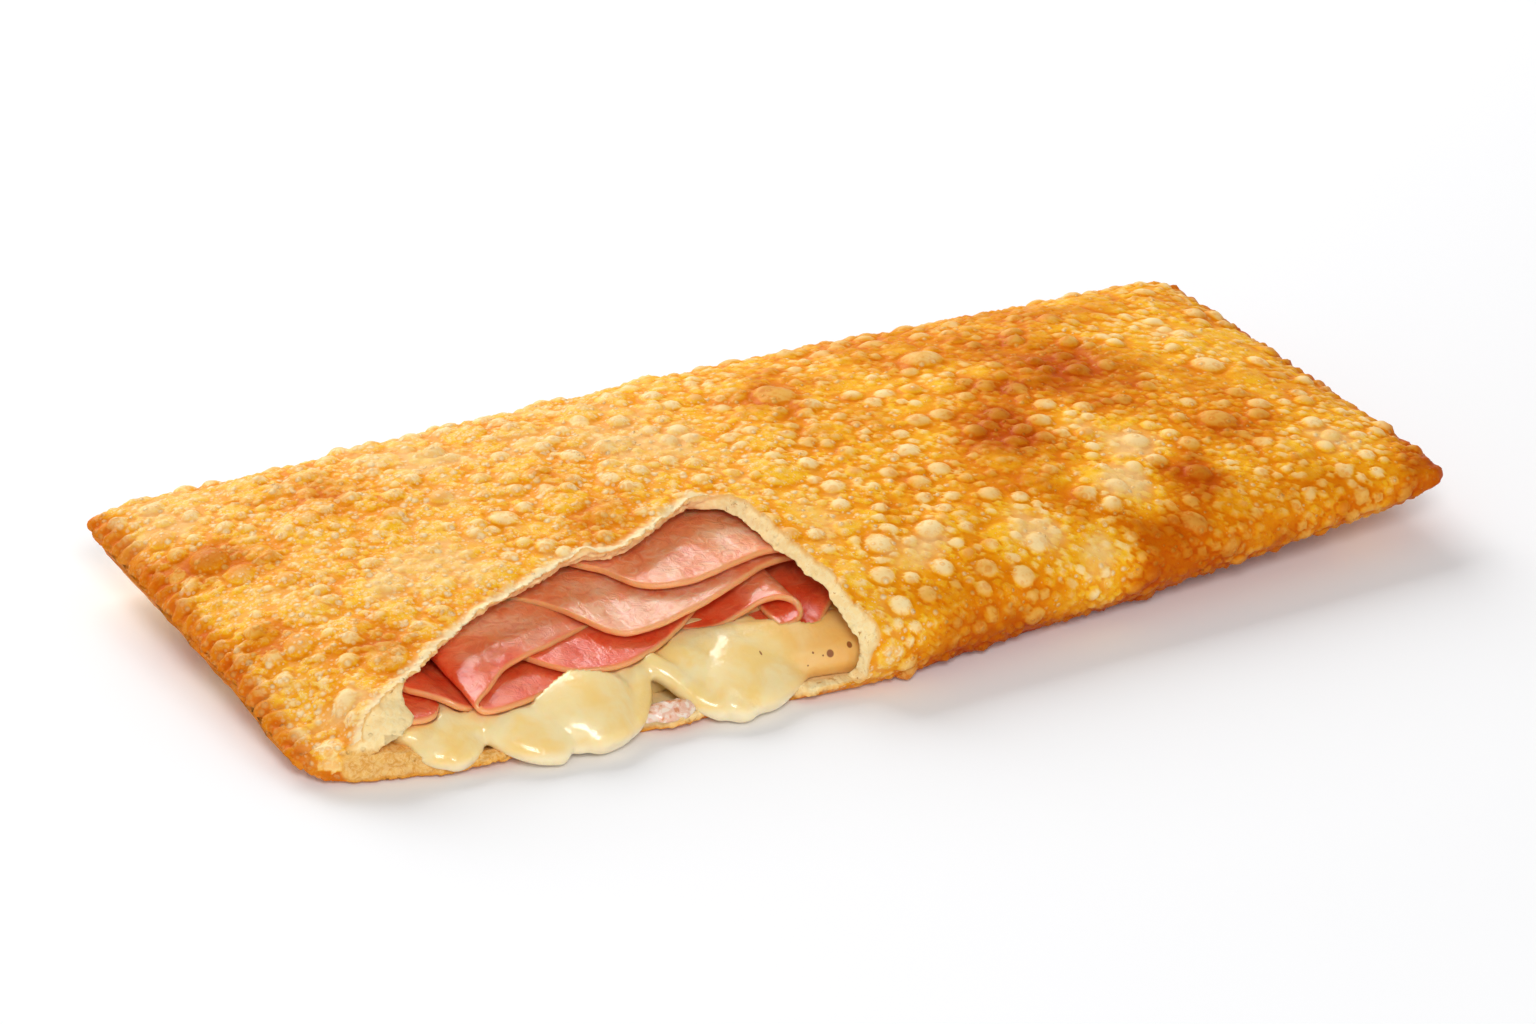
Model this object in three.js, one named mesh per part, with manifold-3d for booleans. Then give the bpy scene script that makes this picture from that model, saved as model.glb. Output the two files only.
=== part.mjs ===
// A rectangular fried pastry with ham and melted cheese, torn open on its near side.
// Millimetres. X runs along the pastry, Y from the torn side to the far side, Z up from the table.
//
// The dough is one crust: a pillow with thin sealed rims, pressed with a fork at both ends.
// The filling runs through it: melted cheese below, and eight folded slices of ham above.
import * as THREE from "three";
import { mergeVertices } from "three/addons/utils/BufferGeometryUtils.js";
import Module from "manifold-3d";

const wasm = await Module();
wasm.setup();

// The pillow
const LENGTH = 200;
const WIDTH = 87.4; // between the corners of a sealed end
const NEAR_BOW = 4; // how far the near side bulges past the corners, at mid length
const FAR_BOW = -1.1; // the far side pulls in
const LIP = { x: -6, width: 16, out: 2.2 }; // where the tear has pulled the near side open
const RIM_THICKNESS = 3.6; // both sheets of dough, pressed together
const CROWN_ABOVE_SEAM = 10.2;
const BELLY_BELOW_SEAM = 14; // the belly is flat where it lies on the table
const SEAM = { farLeft: 11, nearLeft: 5.2, nearRight: 10.8, farRight: 8.6 }; // heights of the corners
const END_TAPER = { power: 2, root: 0.57 }; // how the pillow thins towards its ends
const SECTION = { across: 2.05, up: 2.47 }; // a rounded cross-section
const RIM_SECTION = { across: 6, up: 5, power: 12 }; // and a squarer one at the rims
const RIM_ROUNDING = { radius: 0.8, from: 0.988 };
const THINNEST = 0.4; // half the least thickness of an inset pillow

// The dough
const DOUGH = 2.2;
const SEALED_END = 9; // solid dough between an end and the filling
const FLOOR_DOUGH = 2.6; // the sheet that is left under the tear
const GAP = 0.3; // between pieces that touch

// Large blisters in the fried skin. They stay short of the rims, and most are on the top.
const BLISTERS = {
  count: 120, smallest: 3.2, largest: 6, height: 0.22, along: 0.9, round: 0.76, onTop: 0.8, seed: 7,
};
const FLAT_BELOW = 1; // no blister lifts the belly off the table

// Fork marks across both sealed ends
const FORK = { pitch: 3, depth: 0.6, halfWidth: 1.2, above: 0.9, length: 6, beyond: 0.2, margin: 3, seed: 5 };

// How finely the skin of the pillow is divided
const SKIN = { stations: 46, round: 46 };
const HOLLOW = { stations: 20, round: 24 };
const CROWDING = 0.86; // the stations are closer together at the ends, where the pillow thins
const UNDERNEATH = { below: -0.2, points: 0.4 }; // the belly is flat, so it needs fewer points
const SLIVER = 0.02;

function solid(points, faces) {
  const geometry = new THREE.BufferGeometry().setFromPoints(points);
  geometry.setIndex(faces);
  const merged = mergeVertices(geometry, 1e-4);
  const mesh = new wasm.Mesh({
    numProp: 3,
    vertProperties: new Float32Array(merged.attributes.position.array),
    triVerts: new Uint32Array(merged.index.array),
  });
  const made = new wasm.Manifold(mesh);
  if (made.volume() > 0) return made;
  const turned = mesh.triVerts;
  for (let i = 0; i < turned.length; i += 3) [turned[i + 1], turned[i + 2]] = [turned[i + 2], turned[i + 1]];
  return new wasm.Manifold(mesh);
}

// A solid through closed rings of points. Each end is a fan round its middle.
function loft(rings) {
  const count = rings[0].length;
  const middle = (ring) => ring.reduce((sum, p) => sum.add(p), new THREE.Vector3()).divideScalar(count);
  const points = [...rings.flat(), middle(rings[0]), middle(rings.at(-1))];
  const start = points.length - 2;
  const last = (rings.length - 1) * count;
  const faces = [];
  for (let j = 0; j < count; j++) {
    const k = (j + 1) % count;
    for (let i = 0; i < last; i += count) {
      faces.push(i + j, i + k, i + count + k, i + j, i + count + k, i + count + j);
    }
    faces.push(start, k, j, start + 1, last + j, last + k);
  }
  return solid(points, faces);
}

// A thin solid on both sides of a grid of points, grid[row][column].
function sheet(grid, thickness) {
  const rows = grid.length;
  const columns = grid[0].length;
  const at = (i, j) => grid[Math.min(rows - 1, Math.max(0, i))][Math.min(columns - 1, Math.max(0, j))];
  const side = (sign) =>
    grid.flatMap((row, i) =>
      row.map((p, j) => {
        const down = at(i + 1, j).clone().sub(at(i - 1, j));
        const along = at(i, j + 1).clone().sub(at(i, j - 1));
        return p.clone().addScaledVector(along.cross(down).normalize(), (sign * thickness) / 2);
      }),
    );
  const points = [...side(1), ...side(-1)];
  const back = rows * columns;
  const faces = [];
  const quad = (a, b, c, d) => faces.push(a, b, c, a, c, d);
  for (let i = 0; i + 1 < rows; i++) {
    for (let j = 0; j + 1 < columns; j++) {
      const [a, b] = [i * columns + j, (i + 1) * columns + j];
      quad(a, b, b + 1, a + 1);
      quad(back + a + 1, back + b + 1, back + b, back + a);
    }
  }
  for (let j = 0; j + 1 < columns; j++) {
    const far = (rows - 1) * columns + j;
    quad(j, j + 1, back + j + 1, back + j);
    quad(far + 1, far, back + far, back + far + 1);
  }
  for (let i = 0; i + 1 < rows; i++) {
    const [a, b] = [i * columns, (i + 1) * columns];
    const last = columns - 1;
    quad(b, a, back + a, back + b);
    quad(a + last, b + last, back + b + last, back + a + last);
  }
  return solid(points, faces);
}

// The largest body, so that no scrap or sliver of a cut is left over.
function largest(made) {
  return made.simplify(SLIVER).decompose().sort((a, b) => b.volume() - a.volume())[0];
}

function part(name, made, colour, roughness) {
  const mesh = made.getMesh();
  const geometry = new THREE.BufferGeometry();
  geometry.setAttribute("position", new THREE.BufferAttribute(mesh.vertProperties, 3));
  geometry.setIndex(new THREE.BufferAttribute(mesh.triVerts, 1));
  geometry.computeVertexNormals();
  const finish = new THREE.MeshStandardMaterial({ color: colour, roughness, metalness: 0 });
  const out = new THREE.Mesh(geometry, finish);
  out.name = name;
  return out;
}

// Evenly spread numbers from 0 to 1, the same each time.
function randomFrom(seed) {
  let state = seed;
  return () => {
    state = (state * 1664525 + 1013904223) % 4294967296;
    return state / 4294967296;
  };
}

const mix = (a, b, t) => a + (b - a) * t;
const clamp = (t) => Math.min(1, Math.max(0, t));
const ease = (t) => clamp(t) ** 2 * (3 - 2 * clamp(t));
const steps = (count) => Array.from({ length: count + 1 }, (_, i) => i / count);
const bump = (x, middle, width) => Math.exp(-(((x - middle) / width) ** 2));
const vector = ([x, y, z = 0]) => new THREE.Vector3(x, y, z);
const curveThrough = (points) => new THREE.CatmullRomCurve3(points.map(vector), false, "centripetal");

// Height of the seam between the two sheets of dough. u runs from -1 to 1 along, and v across.
function seamHeight(u, v) {
  const left = mix(SEAM.nearLeft, SEAM.farLeft, (v + 1) / 2);
  const right = mix(SEAM.nearRight, SEAM.farRight, (v + 1) / 2);
  return mix(left, right, (u + 1) / 2);
}

// How far the pillow reaches from its axis, at a place along it from -1 to 1.
function halfWidth(along, near) {
  const bow = (near ? NEAR_BOW : FAR_BOW) * (1 - along ** 2);
  const lip = near ? LIP.out * bump((along * LENGTH) / 2, LIP.x, LIP.width) : 0;
  return WIDTH / 2 + bow + lip;
}

// The cross-section at a place along the pillow: its two roundnesses, and how full it is there.
function sectionAt(along) {
  const square = Math.abs(along) ** RIM_SECTION.power;
  const across = mix(SECTION.across, RIM_SECTION.across, square);
  const up = mix(SECTION.up, RIM_SECTION.up, square);
  const fullness = Math.max(0, 1 - Math.abs(along) ** END_TAPER.power) ** END_TAPER.root;
  return { across, up, fullness };
}

// A point of the pillow's skin, or of a smaller pillow inset from it.
function pillowPoint(u, angle, inset = 0, endInset = inset) {
  const x = u * (LENGTH / 2 - endInset);
  const along = clamp(Math.abs(x) / (LENGTH / 2)) * Math.sign(x);
  const { across, up, fullness } = sectionAt(along);
  const [c, s] = [Math.cos(angle), Math.sin(angle)];
  const v = Math.sign(c) * Math.abs(c) ** (2 / across);
  const w = Math.sign(s) * Math.abs(s) ** (2 / up);
  const { radius, from } = RIM_ROUNDING;
  const rounding = radius * clamp((Math.abs(along) - from) / (1 - from)) ** 2;
  const reach = RIM_THICKNESS / 2 + (s > 0 ? CROWN_ABOVE_SEAM : BELLY_BELOW_SEAM) * fullness;
  const height = Math.max(THINNEST, reach - rounding - inset);
  const y = v * (halfWidth(along, v < 0) - rounding - inset);
  return new THREE.Vector3(x, y, Math.max(inset, seamHeight(along, v) + w * height));
}

// Height of the top skin over a point of the plan, or of the seam where the point is outside.
function skinHeight(x, y) {
  const along = x / (LENGTH / 2);
  const { across, up, fullness } = sectionAt(along);
  const v = Math.min(1, Math.abs(y) / halfWidth(along, y < 0));
  const rise = RIM_THICKNESS / 2 + CROWN_ABOVE_SEAM * fullness;
  return seamHeight(along, v * Math.sign(y)) + rise * (1 - v ** across) ** (1 / up);
}

// Angles that spread the points of a section evenly along its skin.
function sectionAngles(count) {
  const fine = 1440;
  const angle = (i) => (i / fine) * 2 * Math.PI;
  const run = [0];
  for (let i = 0; i < fine; i++) {
    const step = pillowPoint(0, angle(i)).distanceTo(pillowPoint(0, angle(i + 1)));
    run.push(run[i] + step * (Math.sin(angle(i)) < UNDERNEATH.below ? UNDERNEATH.points : 1));
  }
  let at = 0;
  return Array.from({ length: count }, (_, j) => {
    const target = (j / count) * run[fine];
    while (run[at + 1] < target) at++;
    return angle(at + (target - run[at]) / (run[at + 1] - run[at]));
  });
}

function blisterSpots() {
  const { count, smallest, largest, along, round, onTop, seed } = BLISTERS;
  const random = randomFrom(seed);
  return Array.from({ length: count }, () => {
    const u = mix(-along, along, random());
    const turn = mix(1 - round, 1 + round, random()) * (Math.PI / 2);
    const angle = random() < onTop ? turn : -turn;
    return { centre: pillowPoint(u, angle), radius: mix(smallest, largest, random() ** 2) };
  });
}

// A pillow. Blisters lift its skin, except on the belly.
function pillow(inset, endInset, detail, spots = []) {
  const angles = sectionAngles(detail.round);
  const rings = steps(detail.stations).map((t) => {
    const u = Math.sin((t - 0.5) * Math.PI * CROWDING) / Math.sin((Math.PI / 2) * CROWDING);
    return angles.map((angle) => {
      const p = pillowPoint(u, angle, inset, endInset);
      const domes = spots.map(({ centre, radius }) => radius - p.distanceToSquared(centre) / radius);
      const lift = BLISTERS.height * Math.max(0, ...domes);
      const outwards = p.clone().sub(pillowPoint(u, angle, inset + 1, endInset + 1)).normalize();
      return p.z > FLAT_BELOW ? p.addScaledVector(outwards, lift) : p;
    });
  });
  return loft(rings);
}

// Plan of the tear, from the near left corner over the crown and back to the near side.
const TEAR = [
  [-94, -43], [-90, -37], [-83, -33.4], [-71, -26.8], [-61, -21.8], [-54, -19.9], [-46, -17.2],
  [-41, -16.4], [-37, -18], [-32, -16.6], [-26, -14], [-22, -11.6], [-18, -11.6], [-15, -13.4],
  [-13, -19], [-12, -25], [-10.6, -32], [-9.4, -38], [-9.6, -43.5], [-7.4, -49],
];
const RAGGED = { step: 3.8, out: 0.5, seed: 3 };
const FLARE = { out: 2, from: -26, to: -16 }; // its right side is wider at the skin than inside
const UNDERCUT = 1.3; // and its left side is wider inside, so that its edge is thin
const LEDGE = 0.5; // the widening starts this far under the dough
const BEYOND = 64; // well past the near side
const ABOVE = 40; // well over the crown

// The near edge of the sheet that is left under the tear, and the heights that it is torn between.
const SHEET_CUT = { from: -5, to: 8 };
const SHEET_EDGE = [
  [-96, -42], [-90, -41], [-83, -41], [-79, -41.5], [-70, -43.2], [-57, -42.4], [-46, -42.4],
  [-41, -45.6], [-33, -45], [-22, -43.4], [-18, -46.4], [-12, -48.4], [-6, -52],
];

// All to the near side of a ragged line, through levels. Each level is a function that gives the
// height over a point, and how far back the line is moved there.
function nearSideOf(points, levels) {
  const curve = curveThrough(points);
  const rings = levels.map((level) => {
    const random = randomFrom(RAGGED.seed);
    const edge = steps(Math.round(curve.getLength() / RAGGED.step)).map((t) => {
      const p = curve.getPointAt(t);
      const along = curve.getTangentAt(t);
      const [z, back] = level(p);
      const out = back + mix(-RAGGED.out, RAGGED.out, random());
      return p.add(vector([-along.y * out, along.x * out, z]));
    });
    const corner = (p, side) => p.clone().setX(p.x + side).setY(-BEYOND);
    return [...edge, corner(edge.at(-1), 1), corner(edge[0], -1)];
  });
  return loft(rings);
}

// The sheet thickens into the sealed corner at the left, and its torn top is wavy.
const CORNER = { from: -78, over: 5, rise: 2.3 };
const WAVES = { height: 0.3, length: 3 };
function sheetTop(x) {
  const corner = CORNER.rise * ease((CORNER.from - x) / CORNER.over);
  return FLOOR_DOUGH + corner + WAVES.height * Math.sin(x / WAVES.length);
}

function aboveSheet(clearance) {
  const section = (x) => {
    const floor = sheetTop(x) + clearance;
    return [[-BEYOND, floor], [0, floor], [0, ABOVE],
    [-BEYOND, ABOVE]].map(([y, z]) => vector([x, y, z]));
  };
  return loft(steps(36).map((t) => section(mix(-LENGTH / 2, 0, t))));
}

// What is torn away. clearance keeps it back from the dough that is left.
function tornAway(clearance = 0) {
  const right = (p) => ease((p.x - FLARE.from) / (FLARE.to - FLARE.from));
  const over = nearSideOf(TEAR, [
    () => [0, -clearance],
    (p) => [skinHeight(p.x, p.y) - DOUGH - LEDGE, mix(UNDERCUT, 0, right(p)) - clearance],
    (p) => [skinHeight(p.x, p.y), FLARE.out * right(p) - clearance],
    (p) => [ABOVE, FLARE.out * right(p) - clearance],
  ]);
  const cut = Object.values(SHEET_CUT).map((z) => () => [z, -clearance]);
  const front = nearSideOf(SHEET_EDGE, cut);
  return over.intersect(aboveSheet(clearance)).add(front);
}

function forkMarks() {
  const random = randomFrom(FORK.seed);
  const count = Math.floor((WIDTH - 2 * FORK.margin) / FORK.pitch);
  const marks = [-1, 1].flatMap((end) =>
    steps(count).map((t) => {
      const v = mix(-1, 1, t) * ((count * FORK.pitch) / WIDTH);
      const angle = Math.acos(Math.abs(v) ** (RIM_SECTION.across / 2) * Math.sign(v));
      const tip = pillowPoint(end, angle);
      const inner = pillowPoint(end * (1 - (2 * FORK.length) / LENGTH), angle).setY(tip.y);
      const depth = FORK.depth * mix(0.7, 1.3, random());
      const corners = [[0, -depth], [FORK.halfWidth, FORK.above], [-FORK.halfWidth, FORK.above]];
      const ring = (p) => corners.map(([y, z]) => p.clone().add(vector([0, y, z])));
      return loft([ring(tip.clone().lerp(inner, -FORK.beyond)), ring(inner)]);
    }),
  );
  return wasm.Manifold.union(marks);
}

// The crust, or one that is thicker by a clearance on every side.
function crustSolid(clearance = 0) {
  const skin = pillow(-clearance, -clearance, SKIN, blisterSpots());
  const hollow = pillow(DOUGH + clearance, SEALED_END + clearance, HOLLOW);
  return skin.subtract(hollow).subtract(tornAway(clearance));
}

// Ham slices, from the lowest up. front is a slice's visible edge, from left to right, continued
// inside the crust. back is its far edge, or a plain one at a depth and a height.
const HAM = 1.1;
const SLICES = {
  ham_left_low: {
    front: [[-85, -33.6, 8.6], [-83.4, -36.4, 8.1], [-80.6, -37.4, 7.9],
      [-77.9, -36.9, 7.8], [-75.6, -34, 7.8]],
    back: [[-88, 0, 9.6], [-84, 1, 9.6], [-80, 2, 9.5], [-77, 2, 9.4], [-73, 1, 9.2]],
    columns: 9,
  },
  ham_right: {
    front: [[-20, -33, 7.6], [-15.5, -37.3, 8], [-12.4, -38.8, 8.8],
      [-9.6, -36.8, 9.8], [-4, -33, 10.8],
      [10, -31, 11], [35, -30, 10.6], [56, -26, 10.6]],
    depth: 20,
    height: 11.6,
    columns: 16,
  },
  ham_left: {
    front: [[-81.4, -26.5, 10.4], [-79.2, -30.6, 10], [-76.9, -32.8, 9.4], [-74.9, -35.2, 8.9],
      [-72.8, -36.4, 8], [-69.5, -36, 6.9], [-63, -33, 6.8]],
    back: [[-82, 0, 11], [-80, 1, 11], [-77, 2, 10.8], [-75, 3, 10], [-73, 3, 8.6],
      [-69, 3, 7.8], [-61, 3, 7.5]],
    columns: 12,
  },
  ham_folded: {
    front: [[-44, -25, 10.5], [-54.4, -29, 10.7], [-63, -31.6, 10.4],
      [-67.7, -35.5, 9.7], [-71.2, -38.4, 8.9],
      [-70.6, -39.5, 8.2], [-66.3, -39.6, 8], [-58.7, -37.6, 7.9], [-53, -35, 7.9], [-48, -32, 7.9]],
    back: [[-43, 4, 13.2], [-53, 4, 13.3], [-62, 4, 13.2], [-67, 4, 12.9], [-70.2, 4, 11.4],
      [-69.4, 4, 9.9], [-65.5, 4, 9.4], [-59, 4, 9.2], [-53, 4, 9.1], [-48, 4, 9.1]],
    columns: 22,
  },
  ham_low: {
    front: [[-60, -26, 9.9], [-57, -32, 9.6], [-54, -35.8, 9.4], [-50.8, -37.4, 9.3], [-46.8, -38, 9.3],
      [-39.3, -35.8, 9.6], [-34.6, -33, 9.9], [-31, -30.6, 10.2], [-26, -26, 10.4]],
    depth: 6,
    height: 11.3,
    columns: 14,
  },
  ham_curl: {
    front: [[-32.4, -30.4, 8.6], [-27.5, -32.7, 9], [-22, -32, 9.9],
      [-18.4, -31.8, 11], [-15.8, -33.2, 11.7],
      [-14, -35.2, 11.1], [-14.2, -36.9, 10], [-16, -37.5, 9.3], [-18.2, -36.9, 9]],
    back: [[-34, -6, 9.9], [-28, -8, 10.2], [-23, -9, 10.9], [-19, -10, 12], [-15.8, -10.5, 12.4],
      [-13.4, -11, 11.6], [-13.6, -11.5, 10.6], [-15.6, -12, 10], [-18.2, -12, 9.8]],
    columns: 22,
  },
  ham_long: {
    front: [[-63, -6, 13.2], [-56.4, -13.8, 12.7], [-52.8, -16.5, 12.6],
      [-49.5, -20.5, 12.5], [-47, -26, 12.3],
      [-44.8, -31.2, 11.9], [-42.3, -33, 11.7], [-38.2, -33.2, 12],
      [-32.7, -32.4, 12.5], [-25.4, -30.4, 13.1],
      [-19.5, -27.8, 13.6], [-14.5, -25.8, 13.8], [-4, -25, 13.5], [20, -25, 13], [46, -21, 12.5]],
    depth: 24,
    height: 14.3,
    columns: 28,
  },
  ham_top: {
    front: [[-49, -3, 16], [-44, -9, 15.4], [-42, -13, 15], [-38.9, -17, 14.8], [-36.6, -22.9, 14.6],
      [-34.4, -25.4, 14.6], [-29.9, -27.2, 14.9], [-24.6, -27, 15.2],
      [-20.2, -25.9, 15.5], [-14.2, -25, 15.6],
      [-9.6, -25.6, 15.3], [0, -25, 15], [25, -24, 14.6], [48, -19, 14.1]],
    depth: 22,
    height: 16,
    columns: 26,
  },
};
const HAM_ROWS = 4;

// Points of a slice, from its front edge to its far edge. It rises faster near the front.
function sliceGrid({ front, back, depth, height, columns }) {
  const edge = curveThrough(front);
  const far = curveThrough(back ?? front.map(([x]) => [x, depth, height]));
  return steps(HAM_ROWS).map((t) =>
    steps(columns).map((s) => {
      const p = edge.getPoint(s);
      const q = far.getPoint(s);
      const rise = Math.sin((t * Math.PI) / 2);
      return new THREE.Vector3(mix(p.x, q.x, t), mix(p.y, q.y, t), mix(p.z, q.z, rise));
    }),
  );
}

// The same points with the four edges moved out.
function widened(grid, by) {
  const push = (line) => {
    const [a, b] = [line[0].clone().sub(line[1]), line.at(-1).clone().sub(line.at(-2))];
    line[0].addScaledVector(a.normalize(), by);
    line.at(-1).addScaledVector(b.normalize(), by);
  };
  grid.forEach(push);
  grid[0].forEach((_, j) => push(grid.map((row) => row[j])));
  return grid;
}

// Melted cheese fills the lower part of the pillow, and runs out over the sheet in four tongues.
const CHEESE = { level: 9, inset: 2.6, end: 11, back: -4, behindTear: 3 };
const SAG = { from: -35, over: 25, by: 1.7 }; // it has run out here,
const HEAP = { from: -84, over: 4, by: 2.2 }; // and is pressed up in the corner
const cheeseTop = (x) =>
  CHEESE.level - SAG.by * ease((SAG.from - x) / SAG.over) + HEAP.by * ease((HEAP.from - x) / HEAP.over);
const TONGUES = [
  { x: -74.6, halfWidth: 5.5, y: -42.4, foot: 1.4 },
  { x: -62, halfWidth: 7.6, y: -47.4, foot: 0.6 },
  { x: -51.6, halfWidth: 7.4, y: -48.4, foot: 0.5 },
  { x: -29.6, halfWidth: 7.4, y: -48.6, foot: 0.6 },
];
const TONGUE_ROUND = 1.25; // how blunt their ends are
const SHOULDER = { plain: 2.2, tongue: 8 }; // how far the cheese rises behind its front
const LIP_SHARE = 0.45; // its front is fullest at this share of its height

// The cheese's face between the tongues
const CHEESE_FACE = [
  [-93.4, -37.8], [-87, -38.4], [-80, -39], [-68, -40.6], [-57, -42], [-43.5, -40.4],
  [-38, -39.4], [-33, -41.6],
  [-22, -44.4], [-4, -46],
];

// A section across the cheese's front at x: forward along the sheet, round the lip and up the face.
function cheeseSection(x, face) {
  const floor = sheetTop(x) + GAP;
  const shares = TONGUES.map((tongue) => ease(TONGUE_ROUND - Math.abs(x - tongue.x) / tongue.halfWidth));
  const front = Math.min(...TONGUES.map(({ y }, i) => mix(face, y, shares[i])));
  const foot = Math.min(...TONGUES.map((tongue, i) => mix(floor, tongue.foot, shares[i])));
  const share = Math.max(...shares);
  const shoulder = front + mix(SHOULDER.plain, SHOULDER.tongue, share);
  const top = cheeseTop(x);
  const lip = mix(foot, top, LIP_SHARE);
  const profile = [
    [CHEESE.back, floor], [front + 5, mix(floor, foot, 0.2)], [front + 2.6, foot],
    [front + 1.1, foot + 0.3],
    [front + 0.2, mix(foot, lip, 0.35)], [front, mix(foot, lip, 0.7)], [front + 0.6, lip],
    [mix(front, shoulder, 0.5), mix(lip, top, 0.6)],
    [shoulder, top - 0.3], [shoulder + 3, top], [CHEESE.back, top],
  ];
  return profile.map(([y, z]) => new THREE.Vector3(x, y, Math.max(z, foot)));
}

function cheeseSolid() {
  const face = curveThrough(CHEESE_FACE).getPoints(200);
  const faceAt = (x) => face.reduce((a, b) => (Math.abs(a.x - x) < Math.abs(b.x - x) ? a : b)).y;
  const [left, right] = [face[0].x, face.at(-1).x];
  const front = loft(steps(44).map((t) => mix(left, right, t)).map((x) => cheeseSection(x, faceAt(x))));
  const filling = pillow(CHEESE.inset, CHEESE.end, HOLLOW).trimByPlane([0, 0, -1], -CHEESE.level);
  return filling.subtract(tornAway(-CHEESE.behindTear)).add(front);
}

// The pieces, each cut clear of the ones before it. The cheese has flowed round the ham.
const crust = largest(crustSolid().subtract(forkMarks()));
let taken = crustSolid(GAP);
const ham = Object.entries(SLICES).map(([name, slice]) => {
  const made = largest(sheet(sliceGrid(slice), HAM).subtract(taken));
  taken = taken.add(sheet(widened(sliceGrid(slice), GAP), HAM + 2 * GAP));
  return part(name, made, "#e59a8f", 0.4);
});
const cheese = largest(cheeseSolid().subtract(taken));

const pastry = new THREE.Group();
pastry.add(part("crust", crust, "#dd9a3c", 0.55), part("cheese", cheese, "#f1dfa0", 0.35), ...ham);

// The origin is the middle of the footprint.
const box = new THREE.Box3().setFromObject(pastry);
pastry.position.y = -(box.min.y + box.max.y) / 2;

export default pastry;
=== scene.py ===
# A fried pastry with ham and melted cheese, torn open on its near side, on a white table.
# Lengths are in millimetres unless a line says otherwise, and become metres in the meshes.
import math

import bmesh
import bpy
import numpy as np
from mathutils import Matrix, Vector, bvhtree, kdtree, noise
from numpy.linalg import norm


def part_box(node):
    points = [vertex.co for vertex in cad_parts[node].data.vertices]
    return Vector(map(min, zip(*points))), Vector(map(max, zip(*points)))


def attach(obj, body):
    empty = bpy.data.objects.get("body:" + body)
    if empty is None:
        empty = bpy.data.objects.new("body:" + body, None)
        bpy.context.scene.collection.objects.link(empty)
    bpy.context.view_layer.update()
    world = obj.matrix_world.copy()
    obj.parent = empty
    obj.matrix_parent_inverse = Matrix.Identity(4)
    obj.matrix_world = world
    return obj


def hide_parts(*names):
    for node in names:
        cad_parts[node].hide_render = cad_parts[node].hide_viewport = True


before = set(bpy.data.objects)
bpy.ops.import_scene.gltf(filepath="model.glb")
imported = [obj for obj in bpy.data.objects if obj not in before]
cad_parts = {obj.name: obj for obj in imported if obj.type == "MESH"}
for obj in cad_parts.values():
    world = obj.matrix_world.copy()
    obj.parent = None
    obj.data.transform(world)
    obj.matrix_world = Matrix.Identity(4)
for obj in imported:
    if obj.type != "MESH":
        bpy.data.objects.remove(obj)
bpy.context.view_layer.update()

MM = 0.001

# The view
# A long lens looks at the torn side from the left, 26 degrees above the table. All lines are
# drawn from the pastry's long middle line, whose place follows from the crust's far edge.
FAR_EDGE = 43.66
MIDDLE = np.array([0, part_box("crust")[1].y / MM - FAR_EDGE, 0])
LOOKS_AT = np.array([0.44, 1.23, 8])
TURN = math.radians(-28.36)
RISE = math.radians(26.24)
DISTANCE = 1365
LENS = 200
SENSOR = 36

backwards = Vector((math.sin(TURN) * math.cos(RISE), -math.cos(TURN) * math.cos(RISE), math.sin(RISE)))
camera_data = bpy.data.cameras.new("camera")
camera_data.lens = LENS
camera_data.sensor_width = SENSOR
camera = bpy.data.objects.new("camera", camera_data)
camera.location = (Vector(LOOKS_AT + MIDDLE) + DISTANCE * backwards) * MM
camera.rotation_euler = backwards.to_track_quat("Z", "Y").to_euler()
bpy.context.scene.collection.objects.link(camera)
bpy.context.scene.camera = camera


# The table and the light
# A matt white table top under one wide softbox high behind the pastry, and a small window in
# front for the gloss. White walls all round send back the rest, so that the shadow is soft.
def linear(hex_colour):
    """The linear colour of an sRGB hex value."""
    channels = [int(hex_colour[i : i + 2], 16) / 255 for i in (1, 3, 5)]
    return [c / 12.92 if c <= 0.04045 else ((c + 0.055) / 1.055) ** 2.4 for c in channels] + [1]


def join(material, node, sockets):
    """Sets a node's sockets. A value that is itself a socket is linked."""
    for name, value in sockets.items():
        if isinstance(value, bpy.types.NodeSocket):
            material.node_tree.links.new(value, node.inputs[name])
        else:
            node.inputs[name].default_value = value


def add_node(material, kind, sockets={}, output=0, **settings):
    """Adds a shader node with its settings and links, and gives one of its outputs."""
    node = material.node_tree.nodes.new("ShaderNode" + kind)
    for name, value in settings.items():
        setattr(node, name, value)
    join(material, node, sockets)
    return node.outputs[output]


def new_material(name):
    material = bpy.data.materials.new(name)
    material.use_nodes = True
    return material, material.node_tree.nodes["Principled BSDF"]


def make_piece(name, points, faces, materials):
    """A smooth mesh of points in millimetres from the middle line."""
    mesh = bpy.data.meshes.new(name)
    mesh.from_pydata((np.asarray(points) + MIDDLE) * MM, [], faces)
    mesh.validate()
    mesh.shade_smooth()
    for material in materials:
        mesh.materials.append(material)
    piece = bpy.data.objects.new(name, mesh)
    bpy.context.scene.collection.objects.link(piece)
    return piece


TABLE = 3000
# Matt laminate is near white with hardly any gloss. A faint glow keeps it white far off.
matt_white, shader = new_material("matt white laminate")
join(matt_white, shader, {
    "Base Color": linear("#F3F3F4"),
    "Roughness": 0.9,
    "Specular IOR Level": 0.1,
    "Emission Color": linear("#FFFFFF"),
    "Emission Strength": 0.05,
})
corners = [[-TABLE, -TABLE, 0], [TABLE, -TABLE, 0], [TABLE, TABLE, 0], [-TABLE, TABLE, 0]]
table = make_piece("table", corners, [(0, 1, 2, 3)], [matt_white])

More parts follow.
